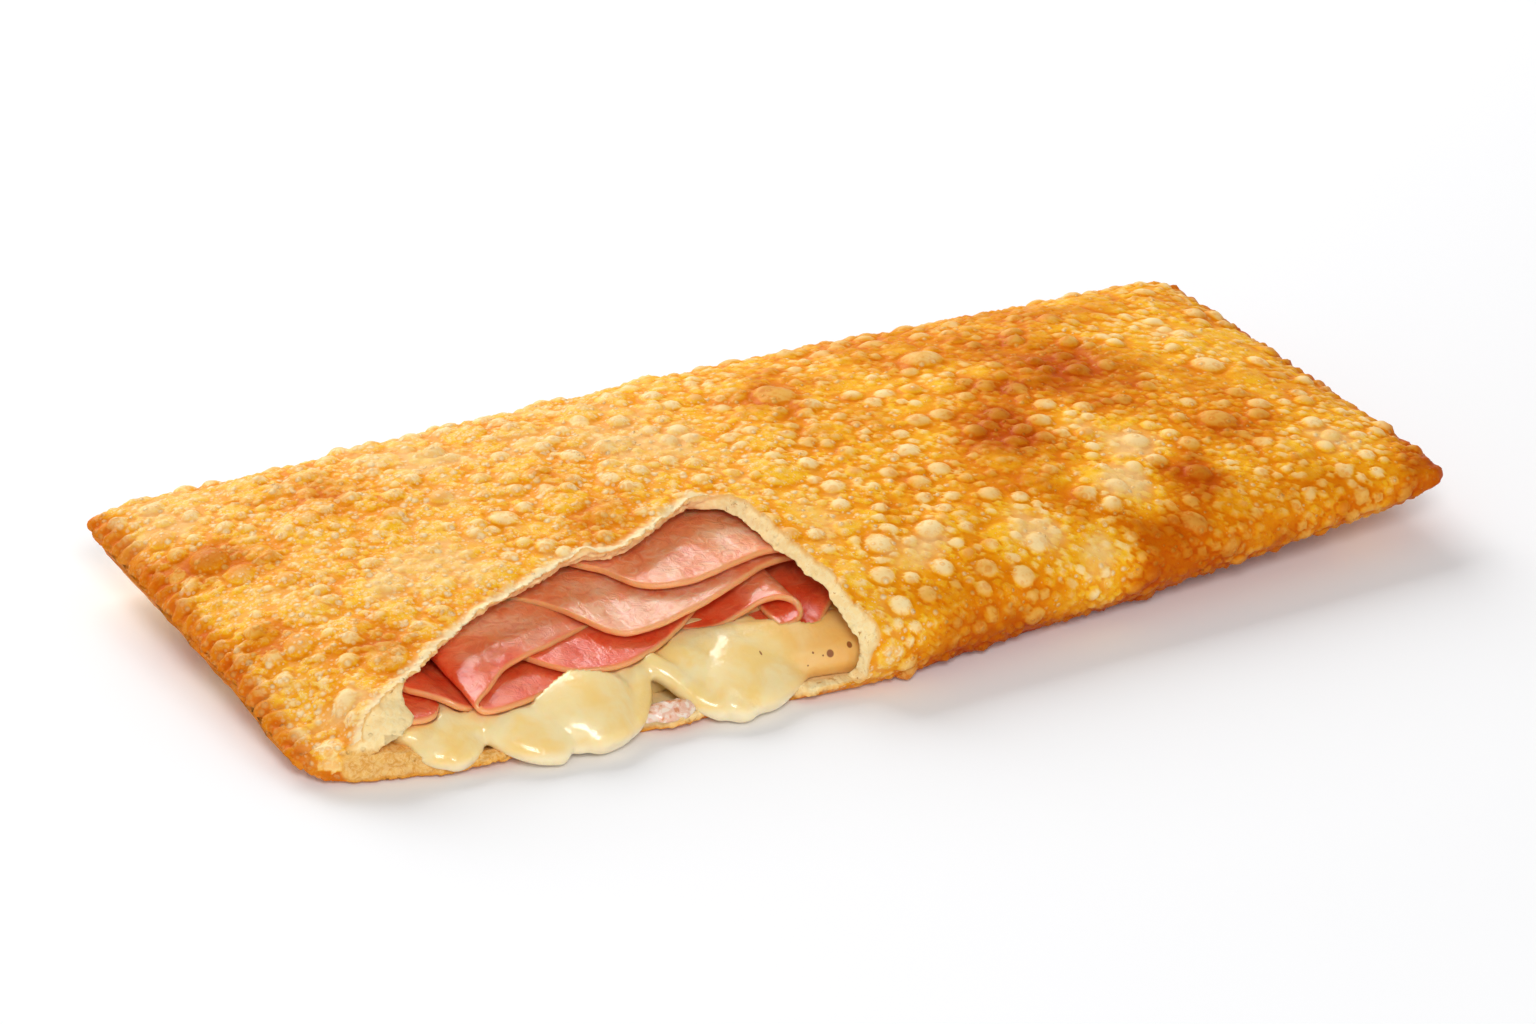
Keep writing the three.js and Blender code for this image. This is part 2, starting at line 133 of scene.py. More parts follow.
SOFTBOXES = {
    "softbox_behind": {"place": (-40, 1040, 680), "size": 900, "watts": 15},
    "window_in_front": {"place": (-350, -820, 720), "size": 340, "watts": 5.2},
}
# How bright the walls are, and the ceiling, and from what height of the view it starts
WALLS = 0.76
CEILING = 0.3
CEILING_FROM = 0.7
for name, box in SOFTBOXES.items():
    lamp = bpy.data.lights.new(name, "AREA")
    lamp.shape = "SQUARE"
    lamp.size = box["size"] * MM
    lamp.energy = box["watts"]
    light = bpy.data.objects.new(name, lamp)
    light.location = Vector(box["place"]) * MM
    light.rotation_euler = light.location.to_track_quat("Z", "Y").to_euler()
    bpy.context.scene.collection.objects.link(light)

world = bpy.data.worlds.new("white walls")
world.use_nodes = True
walls = world.node_tree.nodes["Background"]
walls.inputs["Color"].default_value = linear("#FFFFFF")
direction = add_node(world, "TexCoord", output="Generated")
height = add_node(world, "SeparateXYZ", {"Vector": direction}, "Z")
strength = add_node(
    world,
    "MapRange",
    {"Value": height, "From Max": CEILING_FROM, "To Min": WALLS, "To Max": CEILING},
    interpolation_type="SMOOTHSTEP",
)
join(world, walls, {"Strength": strength})
bpy.context.scene.world = world
bpy.context.scene.view_settings.view_transform = "Standard"

# The crust
# Wheat dough rolled thin, folded round the filling, pressed with a fork at both ends and fried.
# Hot oil has raised blisters all over its skin, and the near side is torn open.
HALF_LENGTH = 100
WIDTH = 87.4
NEAR_BOW = 4
FAR_BOW = -1.1
LIP_X = -6
LIP_WIDTH = 16
LIP_OUT = 2.2
RIM_THICKNESS = 3.6
RIM_WIDTH = 3
THINNEST = 0.04
CROWN = 10.2
BELLY = 14
FULLNESS_POWER = 0.57
SEAM_LEFT = (5.2, 11)
SEAM_RIGHT = (10.8, 8.6)
DOUGH = 2.2
EDGE_ROUNDING = 1.8
EDGE_OVER = 1.7
EDGE_FROM = HALF_LENGTH - EDGE_OVER
# How round the cross-section is across and up, each in the middle and at the ends
ROUND_ACROSS = (2.05, 6)
ROUND_UP = (2.47, 5)
SQUARE_POWER = 12
# What the near left corner loses of its height. A zone is where it starts, and over how far it grows.
DROOP = 0.45
DROOP_X = (-86, 10)
DROOP_Y = (-10, 28)


def mix(a, b, t):
    return a + (b - a) * t


def ease(t):
    t = np.clip(t, 0, 1)
    return t * t * (3 - 2 * t)


def above(values, start, over):
    """How far values are into a zone that grows smoothly from 0 at start to 1 above it."""
    return ease((values - start) / over)


def below(values, start, over):
    """How far values are into a zone that grows smoothly from 0 at start to 1 below it."""
    return ease((start - values) / over)


def seam_height(along, v):
    across = (v + 1) / 2
    return mix(mix(*SEAM_LEFT, across), mix(*SEAM_RIGHT, across), (along + 1) / 2)


def half_width(along, near):
    bow = np.where(near, NEAR_BOW, FAR_BOW) * (1 - along**2)
    lip = LIP_OUT * np.exp(-(((along * HALF_LENGTH - LIP_X) / LIP_WIDTH) ** 2))
    return WIDTH / 2 + bow + np.where(near, lip, 0)


def droop(x, y):
    """What is left of the height where the near left corner hangs down."""
    return 1 - DROOP * below(y, *DROOP_Y) * below(x, *DROOP_X)


def section_at(along):
    """Two roundnesses of the cross-section and how full the pillow is. It is squarer at its rims."""
    square = np.abs(along) ** SQUARE_POWER
    from_end = HALF_LENGTH * (1 - np.abs(along))
    fullness = np.maximum(0, 1 - along**2) ** FULLNESS_POWER * (1 - np.exp(-from_end / RIM_WIDTH))
    return mix(*ROUND_ACROSS, square), mix(*ROUND_UP, square), fullness


def pillow(u, angle, inset=0, end_inset=0):
    """Points of the pillow's skin, or of a smaller pillow. u runs from -1 to 1 along it."""
    x = u * (HALF_LENGTH - end_inset)
    along = x / HALF_LENGTH
    across, up, fullness = section_at(along)
    c = np.cos(angle)
    s = np.sin(angle)
    v = np.sign(c) * np.abs(c) ** (2 / across)
    w = np.sign(s) * np.abs(s) ** (2 / up)
    past_edge = np.clip((np.abs(along) * HALF_LENGTH - EDGE_FROM) / EDGE_OVER, 0, 1)
    rounding = EDGE_ROUNDING * (1 - np.sqrt(1 - past_edge**2))
    reach = RIM_THICKNESS / 2 + np.where(s > 0, CROWN, BELLY) * fullness
    height = np.maximum(THINNEST, reach - rounding - inset)
    y = v * (half_width(along, v < 0) - rounding - inset)
    z = np.maximum(inset, (seam_height(along, v) + w * height) * droop(x, y))
    return np.stack(np.broadcast_arrays(x, y, z), -1)


def skin_height(x, y):
    """Height of the top skin over a point of the plan."""
    along = x / HALF_LENGTH
    across, up, fullness = section_at(along)
    v = np.minimum(1, np.abs(y) / half_width(along, y < 0))
    rise = RIM_THICKNESS / 2 + CROWN * fullness
    height = seam_height(along, v * np.sign(y)) + rise * (1 - v**across) ** (1 / up)
    return height * droop(x, y)


def tube_faces(rings, count):
    """Quads between closed rings of points, and one face over each end."""
    faces = []
    for i in range(rings - 1):
        for j in range(count):
            k = (j + 1) % count
            faces.append((i * count + j, i * count + k, (i + 1) * count + k, (i + 1) * count + j))
    faces.append(tuple(range(count - 1, -1, -1)))
    faces.append(tuple(range((rings - 1) * count, rings * count)))
    return faces


def field(points, size, detail=1, seed=0):
    """Smooth noise at each point, about -1 to 1, with bumps of a size."""
    shift = Vector((seed * 17.3, seed * 5.1, seed * 9.7))
    flat = points.reshape(-1, 3)
    values = [noise.fractal(Vector(p) / size + shift, 1, 2, detail) for p in flat]
    return np.array(values).reshape(points.shape[:-1])


# Stations along the pillow and angles round it, half a millimetre apart but for the flat belly
SKIN_STEP = 0.53
END_ROWS = 7
END_STEPS = EDGE_OVER * (1 - np.cos(np.linspace(0, 1, END_ROWS) * math.pi / 2))[::-1]
GIRTH_STEPS = 1500
BELLY_WIDTH = 0.85
BELLY_SHARE = 0.12
MIDDLE_HEIGHT = 9
stations = np.linspace(-EDGE_FROM, EDGE_FROM, round(2 * EDGE_FROM / SKIN_STEP))[1:-1]
stations = np.concatenate([END_STEPS[::-1] - HALF_LENGTH, stations, HALF_LENGTH - END_STEPS])


def girth_of(u):
    """Fine angles round a section, and how far round it each of them is. The belly counts less."""
    v = np.cos(np.linspace(0, math.pi, GIRTH_STEPS + 1))
    power = section_at(u)[0]
    up = np.sqrt(np.maximum(0, 1 - np.abs(v) ** power))
    over = np.arctan2(up, np.sign(v) * np.abs(v) ** (power / 2))
    turns = np.concatenate([over, 2 * math.pi - over[-2::-1]])
    under = np.concatenate([np.ones(GIRTH_STEPS), np.abs(v[-2::-1])]) < BELLY_WIDTH
    steps = norm(np.diff(pillow(u, turns), axis=0), axis=1)
    return turns, np.concatenate([[0], np.cumsum(np.where(under, steps * BELLY_SHARE, steps))])


count = round(girth_of(0)[1][-1] / SKIN_STEP)
angles = []
for u in stations / HALF_LENGTH:
    turns, run = girth_of(u)
    angles.append(np.interp(np.arange(count) / count * run[-1], run, turns))
smooth_skin = pillow(stations[:, None] / HALF_LENGTH, np.array(angles))


def unit(vectors, least=0):
    """Vectors made one long. A least length keeps those of no length as they are."""
    return vectors / (norm(vectors, axis=-1, keepdims=True) + least)


along_step = np.gradient(smooth_skin, axis=0)
round_step = np.roll(smooth_skin, -1, 1) - np.roll(smooth_skin, 1, 1)
outwards = unit(np.cross(along_step, round_step), 1e-12)
middle_line = smooth_skin * np.array([1, 0, 0]) + np.array([0, 0, MIDDLE_HEIGHT])
outwards *= np.sign(np.sum(outwards * (smooth_skin - middle_line), -1, keepdims=True))

x, y, z = np.moveaxis(smooth_skin, -1, 0)
off_table = above(z, 0.2, 1.2)
from_end = HALF_LENGTH - np.abs(x)
off_rim = above(from_end, 0.3, 1.8)

# The clearest blisters, each with its place in the plan and its radius, pale ones and brown ones
PALE_BLISTERS = [
    (25, -4, 2.1), (39, 5, 1.6), (46, 9, 1.5), (50, 5, 1.3), (54, -23, 2.4), (47, -7, 2),
    (20, -19, 2.1), (20, -7, 1.5), (47, -22, 1.3), (36, -27, 1.5), (12, -17, 1.7), (49, -11, 1.2),
    (51, -13, 1.3), (68, -3, 1.3), (36, -20, 1.3), (37, 17, 3.7), (41, -17, 1.9), (70.5, -21, 3),
    (74, -30, 1.8), (88, -38, 1.6), (69, -14, 1.6), (79, -13, 1.9), (85, -18, 1.3), (90, -15, 1.7),
    (78, -21, 1.9), (81, -1, 3), (62, -26, 1.9), (69, -37, 1.3), (10, -34, 2.4), (1, -34, 2.5),
    (24, -29, 1.9), (15, -30, 1.5), (18, -27, 1.4), (25, -42, 1.9), (38, -34, 2), (8, -42, 1.9),
    (3, -46, 1.7), (-2, -46.5, 2), (-2, -41, 2.2), (15, -44, 1.9), (20, -46, 2), (29, -40, 1.2),
    (41, -44, 1.2), (16, -35.5, 1.3), (6, -26, 1.5), (9, 15, 3.7), (2, -17, 2.2), (-7, -4, 1.2),
    (-14, -9, 1), (-23, 1, 1.5), (-28, 1, 1.7), (-48, -1, 2.5), (-44, -14, 1.5), (-7, 20, 1.5),
    (-5, 1, 1.2), (15, 7, 1.2), (-7, -28, 1.5), (-7, -32, 1.3), (-95, -35.5, 2.9), (-90, -30, 2.2),
    (-83, -18, 1.5), (-52, -11, 1.5),
]
BROWN_BLISTERS = [
    (-91, 16, 3.4), (-89, 9, 2.7), (-90, -14, 2.6), (-84, 3, 2), (-94, 27, 2.4), (-53, 11, 2.2),
]
# The others lie between them in four sizes. The large ones are wide and low, the small ones crowd.
CLEAR = {"heights": (0.34, 0.46), "seed": 30}
LARGE = {"count": 120, "radii": (3.2, 6), "heights": (0.11, 0.15), "seed": 7}
LUMPS = {"count": 260, "radii": (2, 4.2), "power": 1.5, "heights": (0.13, 0.22), "pale": 0.4, "seed": 20}
MIDDLING = {
    "count": 2600, "radii": (0.75, 2.1), "power": 4, "heights": (0.38, 0.56), "pale": 0.85, "seed": 21,
}
SMALL = {
    "count": 14000, "radii": (0.45, 0.85), "power": 1.2, "heights": (0.45, 0.65), "pale": 0.8, "seed": 22,
}
# The rule that draws the places of the large ones
FACTOR = 1664525
ADDEND = 1013904223
RANGE = 2**32
# How much of the length and of the top they take, and the share of them that lie on the top
LARGE_ENDS = 0.9
LARGE_TURNS = (0.12, 0.88)
LARGE_ON_TOP = 0.8
# How near two blisters may lie in radii, how pale or brown they are, and how they are shaped
APART = 0.92
PALE_TONES = (0.35, 1)
BROWN_TONES = (0.2, 0.9)
LISTED_TONES = (0.9, -0.8)
STRETCH = 0.35
DOME_POWER = 0.75
GROOVE_AT = 1.08
GROOVE_WIDTH = 0.16


def tree_of(places):
    tree = kdtree.KDTree(len(places))
    for i, p in enumerate(places):
        tree.insert(p, i)
    tree.balance()
    return tree


points = smooth_skin.reshape(-1, 3)
normals = outwards.reshape(-1, 3)
skin_tree = tree_of(points)


def large_blisters():
    """The same large blisters as the solid crust has."""
    state = LARGE["seed"]

    def draw():
        nonlocal state
        state = (state * FACTOR + ADDEND) % RANGE
        return state / RANGE

    for _ in range(LARGE["count"]):
        u = mix(-LARGE_ENDS, LARGE_ENDS, draw())
        turn = mix(*LARGE_TURNS, draw()) * math.pi
        angle = turn if draw() < LARGE_ON_TOP else -turn
        size = mix(*LARGE["radii"], draw() ** 2)
        yield pillow(u, angle), size, 0.5 - draw()


def clear_blisters():
    """The listed blisters, each with how pale it is. They lie on the top skin."""
    for places, tone in zip((PALE_BLISTERS, BROWN_BLISTERS), LISTED_TONES):
        for px, py, size in places:
            top = skin_height(px, py)
            yield points[skin_tree.find((px, py, top))[1]], size, tone


def scattered_blisters(kind, density, taken=()):
    """Blisters at places drawn by a density over the skin, side by side, the largest placed first."""
    chance = np.random.default_rng(kind["seed"])
    places = points[chance.choice(len(points), kind["count"], p=density / density.sum())]
    sizes = np.sort(mix(*kind["radii"], chance.random(kind["count"]) ** kind["power"]))[::-1]
    kept = np.array([place for place, _, _ in taken]).reshape(-1, 3)
    radii = np.array([size for _, size, _ in taken])
    for place, size in zip(places, sizes):
        if np.all(norm(kept - place, axis=1) > APART * (radii + size)):
            kept = np.vstack([kept, place])
            radii = np.append(radii, size)
            if chance.random() < kind["pale"]:
                yield place, size, chance.uniform(*PALE_TONES)
            else:
                yield place, size, -chance.uniform(*BROWN_TONES)


def raise_blisters(kind, blisters):
    """Lift and paleness at each point of the skin from domes, and the groove round each of them.
    The colour darkens each groove as painted shade.
    """
    chance = np.random.default_rng(kind["seed"] + 100)
    lift = np.zeros(len(points))
    pale = np.zeros(len(points))
    groove = np.zeros(len(points))
    for centre, radius, tone in blisters:
        stretch = 1 + STRETCH * chance.random() ** 2
        lean = chance.normal(size=3)
        lean /= norm(lean)
        height = radius * chance.uniform(*kind["heights"])
        found = skin_tree.find_range(centre, 1.4 * radius * stretch)
        near = np.array([i for _, i, _ in found], int)
        gap = points[near] - centre
        lengthways = gap @ lean
        across = np.sum(gap**2, 1) - lengthways**2
        outness = np.sqrt(across / radius**2 + lengthways**2 / (radius * stretch) ** 2)
        dome = height * np.clip(1 - outness**2, 0, 1) ** DOME_POWER
        ring = np.exp(-(((outness - GROOVE_AT) / GROOVE_WIDTH) ** 2))
        groove[near] = np.maximum(groove[near], ring)
        higher = dome > lift[near]
        chosen = near[higher]
        lift[chosen] = dome[higher]
        pale[chosen] = tone * np.clip(1.3 * (1 - outness[higher] ** 3), 0, 1)
        groove[chosen] *= 0.3
    return lift, pale, groove


on_skin = (off_table * off_rim).ravel()
area = norm(np.cross(along_step, round_step), axis=-1)
area = np.clip(area / np.median(area), 0.3, 4)
bubbly = (area * np.clip(0.75 + 0.7 * field(smooth_skin, 14, 2, 3), 0.3, 1.3)).ravel() * on_skin
to_left = below(x, 20, 50).ravel()
clear = list(clear_blisters())
lift_clear, pale_clear, groove_clear = raise_blisters(CLEAR, clear)
lift_large, pale_large, _ = raise_blisters(LARGE, large_blisters())
lumps = scattered_blisters(LUMPS, bubbly * (0.02 + to_left), clear)
lift_lumps, pale_lumps, groove_lumps = raise_blisters(LUMPS, lumps)
middling = scattered_blisters(MIDDLING, bubbly, clear)
lift_middling, pale_middling, groove_middling = raise_blisters(MIDDLING, middling)
small = scattered_blisters(SMALL, bubbly + 0.3 * on_skin)
lift_small, pale_small, groove_small = raise_blisters(SMALL, small)
lift = lift_large + lift_lumps + np.maximum.reduce([lift_clear, lift_middling, 0.9 * lift_small])
lift *= on_skin
# The groove round each blister, which is sunk a little and painted darker as painted shade
groove = np.maximum.reduce([groove_clear, groove_middling, 0.6 * groove_small, 0.5 * groove_lumps])
pale = (pale_middling + 0.7 * pale_small) * (1 - 0.3 * to_left) + 0.2 * pale_large + 0.4 * pale_lumps
pale = np.where(pale_clear == 0, pale, pale_clear)
lift -= 0.1 * groove * on_skin


def blurred(values, reach):
    """Values on the grid of the skin, each averaged with those within a number of steps."""
    grid = values.reshape(x.shape)
    for axis in (0, 1):
        grid = sum(np.roll(grid, k, axis) for k in range(-reach, reach + 1)) / (2 * reach + 1)
    return grid.ravel()


# How far each point stands above or below the skin round it. The colour paints raised places paler,
# partly as painted highlight, and hollows darker as painted shade.
crest = lift - blurred(blurred(lift, 3), 3)

# Folds and flakes between the blisters, coarser towards the left
lift += 0.25 * field(smooth_skin, 15, 2, 5).ravel() * on_skin
lift += (0.05 + 0.14 * to_left) * field(smooth_skin, 4, 2, 6).ravel() * on_skin

# Fork marks: pleats across the sealed ends, deepest at the near half of the left one. They rise
# and sink over the rim, and at its very edge they go in and out.
PITCH = 3.3
WANDER = 1.5
SLANT = 0.25
MARK_DEPTH = 1.1
MARK_LENGTH = 6.5
MARK_SHADING = 0.45
FAINTER_FAR = (-20, 30)
SCALLOP = 0.5
SCALLOP_LENGTH = 2.5
OVERHANG = 0.6
wander = WANDER * field(smooth_skin, 7, 2, 12)
pleat = np.cos(2 * math.pi * (y + wander + SLANT * from_end) / PITCH) - 0.2
pleat *= np.clip(0.75 + 0.7 * field(smooth_skin, 6, 2, 15), 0.2, 1)
pleat *= np.where(x < 0, mix(1, 0.6, above(y, *FAINTER_FAR)), 0.35)
near_end = below(from_end, MARK_LENGTH, MARK_LENGTH)
marks = pleat * near_end * np.clip(outwards[..., 2], 0, 1) * off_table
lift += MARK_DEPTH * (marks * ease(from_end / SCALLOP_LENGTH)).ravel()
# The pleats' ridges are painted paler and their furrows darker, as painted light and shade
crest += MARK_SHADING * marks.ravel()
scallop = SCALLOP * np.sign(x) * pleat * below(from_end, SCALLOP_LENGTH, SCALLOP_LENGTH) * off_table
# Small bumps along the lower near edge and along both ends
near_edge = below(z, 6, 3) * (y < 0) * above(x, -8, 8)
end_edge = below(from_end, 4, 3)
rim_bumps = field(smooth_skin, 1.7, 2, 14) * np.maximum(0.4 * end_edge, 0.6 * near_edge) * off_table
lift += rim_bumps.ravel()

skin = points + normals * lift[:, None]
skin[:, 0] += scallop.ravel()
skin[:, 0] = np.clip(skin[:, 0], -HALF_LENGTH - OVERHANG, HALF_LENGTH + OVERHANG)
skin[:, 2] = np.maximum(skin[:, 2], 0)

# The plan of the tear, and the near edge of the sheet that is left under it
TEAR = [
    (-94, -43), (-90, -37), (-83, -33.4), (-71, -26.8), (-61, -21.8), (-54, -19.9), (-46, -17.2),
    (-41, -16.4), (-37, -18), (-32, -16.6), (-26, -14), (-22, -11.6), (-18, -11.6), (-15.4, -13.4),
    (-14, -19), (-13.4, -25), (-12.4, -32), (-11.4, -38), (-11.4, -43.5), (-9, -49),
]
SHEET_EDGE = [
    (-108, -23), (-103, -28.6), (-99.4, -32.4), (-96.6, -35), (-93, -37), (-87, -38.8), (-79, -41.4),
    (-70, -43.2), (-57, -42.4), (-46, -42.4), (-41, -45.6), (-33, -45), (-22, -43.4), (-18, -46.4),
    (-12, -48.4), (-6, -52),
]
BEYOND = -64
FAR_UP = 40
TORN_STEP = 0.35
# The torn sheet under the filling, which is thicker in the near left corner
SHEET = 2.6
SHEET_THICKER = 2.3
SHEET_WAVE = 0.3
THICKER_X = (-78, 5)
# How far back the torn wall goes under the skin: at the left, at the top of the tear, and in the
# near left corner, where it comes forward instead. At the right it leans back through the dough.
UNDER_LEFT = 3
UNDER_TOP = 2
UNDER_CORNER = -5
LEANS_BACK = 2
TOP_X = (-58, 8)
CORNER_X = (-79, 6)
RIGHT_X = (-20, 6)
WALL_ROWS = 12
SHEET_HEIGHTS = [-5, *np.linspace(-0.3, 6.3, 20)]
# How ragged a torn line is, and how far its crumbs and the bumps on the sheet stand out
RAGGED = 0.5
COARSE_CRUMBS = 0.36
FINE_CRUMBS = 0.42
SHEET_BUMPS = 0.25


def curve_through(controls, shares):
    """Points of a smooth curve through control points, at shares of its control intervals."""
    controls = np.array(controls, float)
    first = 2 * controls[0] - controls[1]
    last = 2 * controls[-1] - controls[-2]
    padded = np.vstack([first, controls, last])
    place = np.clip(np.asarray(shares), 0, 1) * (len(controls) - 1)
    index = np.minimum(place.astype(int), len(controls) - 2)
    t = (place - index)[:, None]
    p0, p1, p2, p3 = (padded[index + k] for k in range(4))
    pairs = ((p0, p1), (p1, p2), (p2, p3))
    d0, d1, d2 = (norm(b - a, axis=1, keepdims=True) ** 0.5 for a, b in pairs)
    out = ((p1 - p0) / d0 - (p2 - p0) / (d0 + d1) + (p2 - p1) / d1) * d1
    back = ((p2 - p1) / d1 - (p3 - p1) / (d1 + d2) + (p3 - p2) / d2) * d1
    return p1 + out * t + (3 * (p2 - p1) - 2 * out - back) * t**2 + (2 * (p1 - p2) + out + back) * t**3


def even_curve(controls, step):
    """Points at an even step along a smooth curve, and the directions along it."""
    fine = curve_through(controls, np.linspace(0, 1, 3001))
    run = np.concatenate([[0], np.cumsum(norm(np.diff(fine, axis=0), axis=1))])
    at = np.linspace(0, run[-1], round(run[-1] / step) + 1)
    line = np.stack([np.interp(at, run, fine[:, k]) for k in range(fine.shape[1])], -1)
    return line, unit(np.gradient(line, axis=0))


def sheet_top(x):
    return SHEET + SHEET_THICKER * below(x, *THICKER_X) + SHEET_WAVE * np.sin(x / 3)


def torn_wall(controls, levels, floor, seed):
    """All to the near side of a ragged line, as a prism whose wall follows it through levels.
    Each level gives heights over the line, and how far back the wall is moved there."""
    line, along = even_curve(controls, TORN_STEP)
    away = np.stack([-along[:, 1], along[:, 0]], -1)
    coarse = field(np.pad(line, ((0, 0), (0, 1))), 4, 2, seed)
    sections = []
    for height, back in levels(line):
        wall = np.column_stack([line + away * (back + RAGGED * coarse)[:, None], height])
        crumbs = COARSE_CRUMBS * field(wall, 1.3, 2, seed + 1)
        crumbs += FINE_CRUMBS * field(wall, 0.8, 1, seed + 2)
        crumbs *= mix(1, 0.5, above(line[:, 0], *RIGHT_X))
        wall[:, :2] += away * crumbs[:, None]
        sections.append(wall)
    near = np.linspace(line[0, 0] - 4, line[-1, 0] + 2, len(line))
    bottom = sections[0]
    heights = (sections[-1][:, 2], bottom[:, 2])
    edge = [np.column_stack([near, np.full(len(line), BEYOND), height]) for height in heights]
    shelf = []
    for share in np.linspace(0, 1, floor + 2)[1:-1] ** 1.5:
        row = mix(edge[1], bottom, 1 - share)
        row[:, 2] += SHEET_BUMPS * field(row, 1.6, 2, seed + 3)
        shelf.append(row)
    rows = sections + edge + shelf[::-1]
    grid = np.stack(rows, 1)
    return grid.reshape(-1, 3), tube_faces(len(line), len(rows))


def tear_levels(line):
    """The wall of the tear, from the sheet up to the skin, out through the dough and far up."""
    x, y = line.T
    right = above(x, *RIGHT_X)
    top = skin_height(x, y)
    under = top - DOUGH - 0.5
    shelf = sheet_top(x)
    undercut = mix(UNDER_LEFT, UNDER_TOP, above(x, *TOP_X))
    undercut = mix(undercut, UNDER_CORNER, below(x, *CORNER_X))
    undercut = mix(undercut, 0, right)
    for share in np.linspace(0, 1, WALL_ROWS):
        yield mix(shelf, under, share), undercut * share
    for share in np.linspace(0, 1, WALL_ROWS + 1)[1:]:
        yield mix(under, top, share), mix(undercut, LEANS_BACK * right, share)
    yield top + 1, LEANS_BACK * right
    yield np.full(len(line), FAR_UP), LEANS_BACK * right


def sheet_levels(line):
    """The near edge of the sheet, from under the table up to the skin at the sealed left end."""
    for height in SHEET_HEIGHTS:
        yield np.full(len(line), height), np.zeros(len(line))
    yield 8 + 6 * below(line[:, 0], -91, 4), np.zeros(len(line))


def applied(piece):
    """Gives a piece the mesh that its modifiers make."""
    graph = bpy.context.evaluated_depsgraph_get()
    mesh = bpy.data.meshes.new_from_object(piece.evaluated_get(graph))
    piece.modifiers.clear()
    piece.data = mesh


def take_away(piece, cutter):
    """Cuts one closed mesh out of another."""
    cut = piece.modifiers.new("cut", "BOOLEAN")
    cut.operation = "DIFFERENCE"
    cut.solver = "MANIFOLD"
    cut.object = cutter
    applied(piece)
    bpy.data.objects.remove(cutter)


def inner_pillow(ends, rings, count, inset, end_inset):
    """Rings of points round a smaller pillow inside the crust."""
    along = np.sin(np.linspace(-ends, ends, rings))[:, None]
    turns = np.linspace(0, 2 * math.pi, count, False)[None]
    return pillow(along, turns, inset, end_inset)


def lid(ring):
    """Triangles that close a thin flat end, each between its upper and its lower edge."""
    a = 0
    b = len(ring) - 1
    faces = []
    while b - a > 1:
        if ring[a + 1, 1] >= ring[b - 1, 1]:
            faces.append((a, a + 1, b))
            a += 1
        else:
            faces.append((a, b - 1, b))
            b -= 1
    return faces


skin_faces = [face for face in tube_faces(len(stations), count) if len(face) == 4]
last = len(skin) - count
skin_faces += [face[::-1] for face in lid(skin[:count])]
skin_faces += [tuple(i + last for i in face) for face in lid(skin[last:])]

dough, crust_shader = new_material("fried dough")
crust = make_piece("fried_crust", skin, skin_faces, [dough])
# The hollow inside: how near its rings come to its ends, how many there are and of how many
# points, and how thick the dough is at the ends
HOLLOW_ENDS = 1.35
HOLLOW_GRID = (90, 120)
END_DOUGH = 9
hollow = inner_pillow(HOLLOW_ENDS, *HOLLOW_GRID, DOUGH, END_DOUGH)
hollow[..., 0] *= mix(1, 0.9, ease(hollow[..., 0] / -60))
hollow += 0.3 * field(hollow, 3, 2, 31)[..., None] * np.array([0, 0.3, 1])
take_away(crust, make_piece("hollow", hollow.reshape(-1, 3), tube_faces(*HOLLOW_GRID), []))
take_away(crust, make_piece("tear", *torn_wall(TEAR, tear_levels, floor=14, seed=40), []))
take_away(crust, make_piece("torn_front", *torn_wall(SHEET_EDGE, sheet_levels, floor=1, seed=50), []))

# What each point of the crust is: how deep in the dough, how pale or brown, how near the tear
BROWN_PATCHES = [
    (-91.5, 16.3, 7, 1), (-93, -10, 6, 0.7), (-66, 22, 10, 0.6), (-80.6, -21, 6, 0.8), (5, 13, 13, 0.7),
    (37, -13, 8, 1), (56, 3, 11, 0.9), (58, -35, 7, 1), (46, -46, 8, 0.8), (33, -37, 5, 0.8),
    (8, -31, 6, 0.4), (8, -46, 8, 0.6), (97, -42, 5, 0.9), (-33.7, -10, 8, 0.5), (-33, 8, 7, 0.4),
    (75, -22, 8, 0.5),
]
PALE_PATCHES = [
    (-90, 30, 7, 0.7), (-52, 27, 11, 0.5), (-15, 14, 14, 0.6), (-28, 18, 10, 0.4), (28, 8, 9, 0.6),
    (46, -14, 6, 1), (54, -23, 7, 1.4), (46, -34, 7, 1.7), (28, -40, 6, 1.5), (79, 14, 9, 0.6),
    (-63, -6, 9, 0.4), (-90, -31, 4, 0.6), (36, -47, 7, 1.3), (86, -34, 6, 1.1), (8, -38, 6, 0.9),
    (65, -33, 5, 0.8),
]
# How far from the tear its pale look reaches
TORN_REACH = 2.2


def patches(places, at):
    """How strongly a point is inside any of some soft round patches, from 0 to 1."""
    strength = np.zeros(len(at))
    for px, py, radius, most in places:
        distance = (at[:, 0] - px) ** 2 + (at[:, 1] - py) ** 2
        strength = np.maximum(strength, most * np.exp(-distance / radius**2))
    return strength


def write_attribute(piece, name, values):
    attribute = piece.data.attributes.new(name, "FLOAT", "POINT")
    attribute.data.foreach_set("value", np.asarray(values, np.float32))


def points_of(piece):
    """The points of a mesh, in millimetres from the middle line."""
    flat = np.zeros(len(piece.data.vertices) * 3)
    piece.data.vertices.foreach_get("co", flat)
    return flat.reshape(-1, 3) / MM - MIDDLE


def nearest(places, at):
    """Index of the nearest of some places to each point, and its distance."""
    tree = tree_of(places)
    found = [tree.find(p) for p in at]
    return np.array([f[1] for f in found]), np.array([f[2] for f in found])


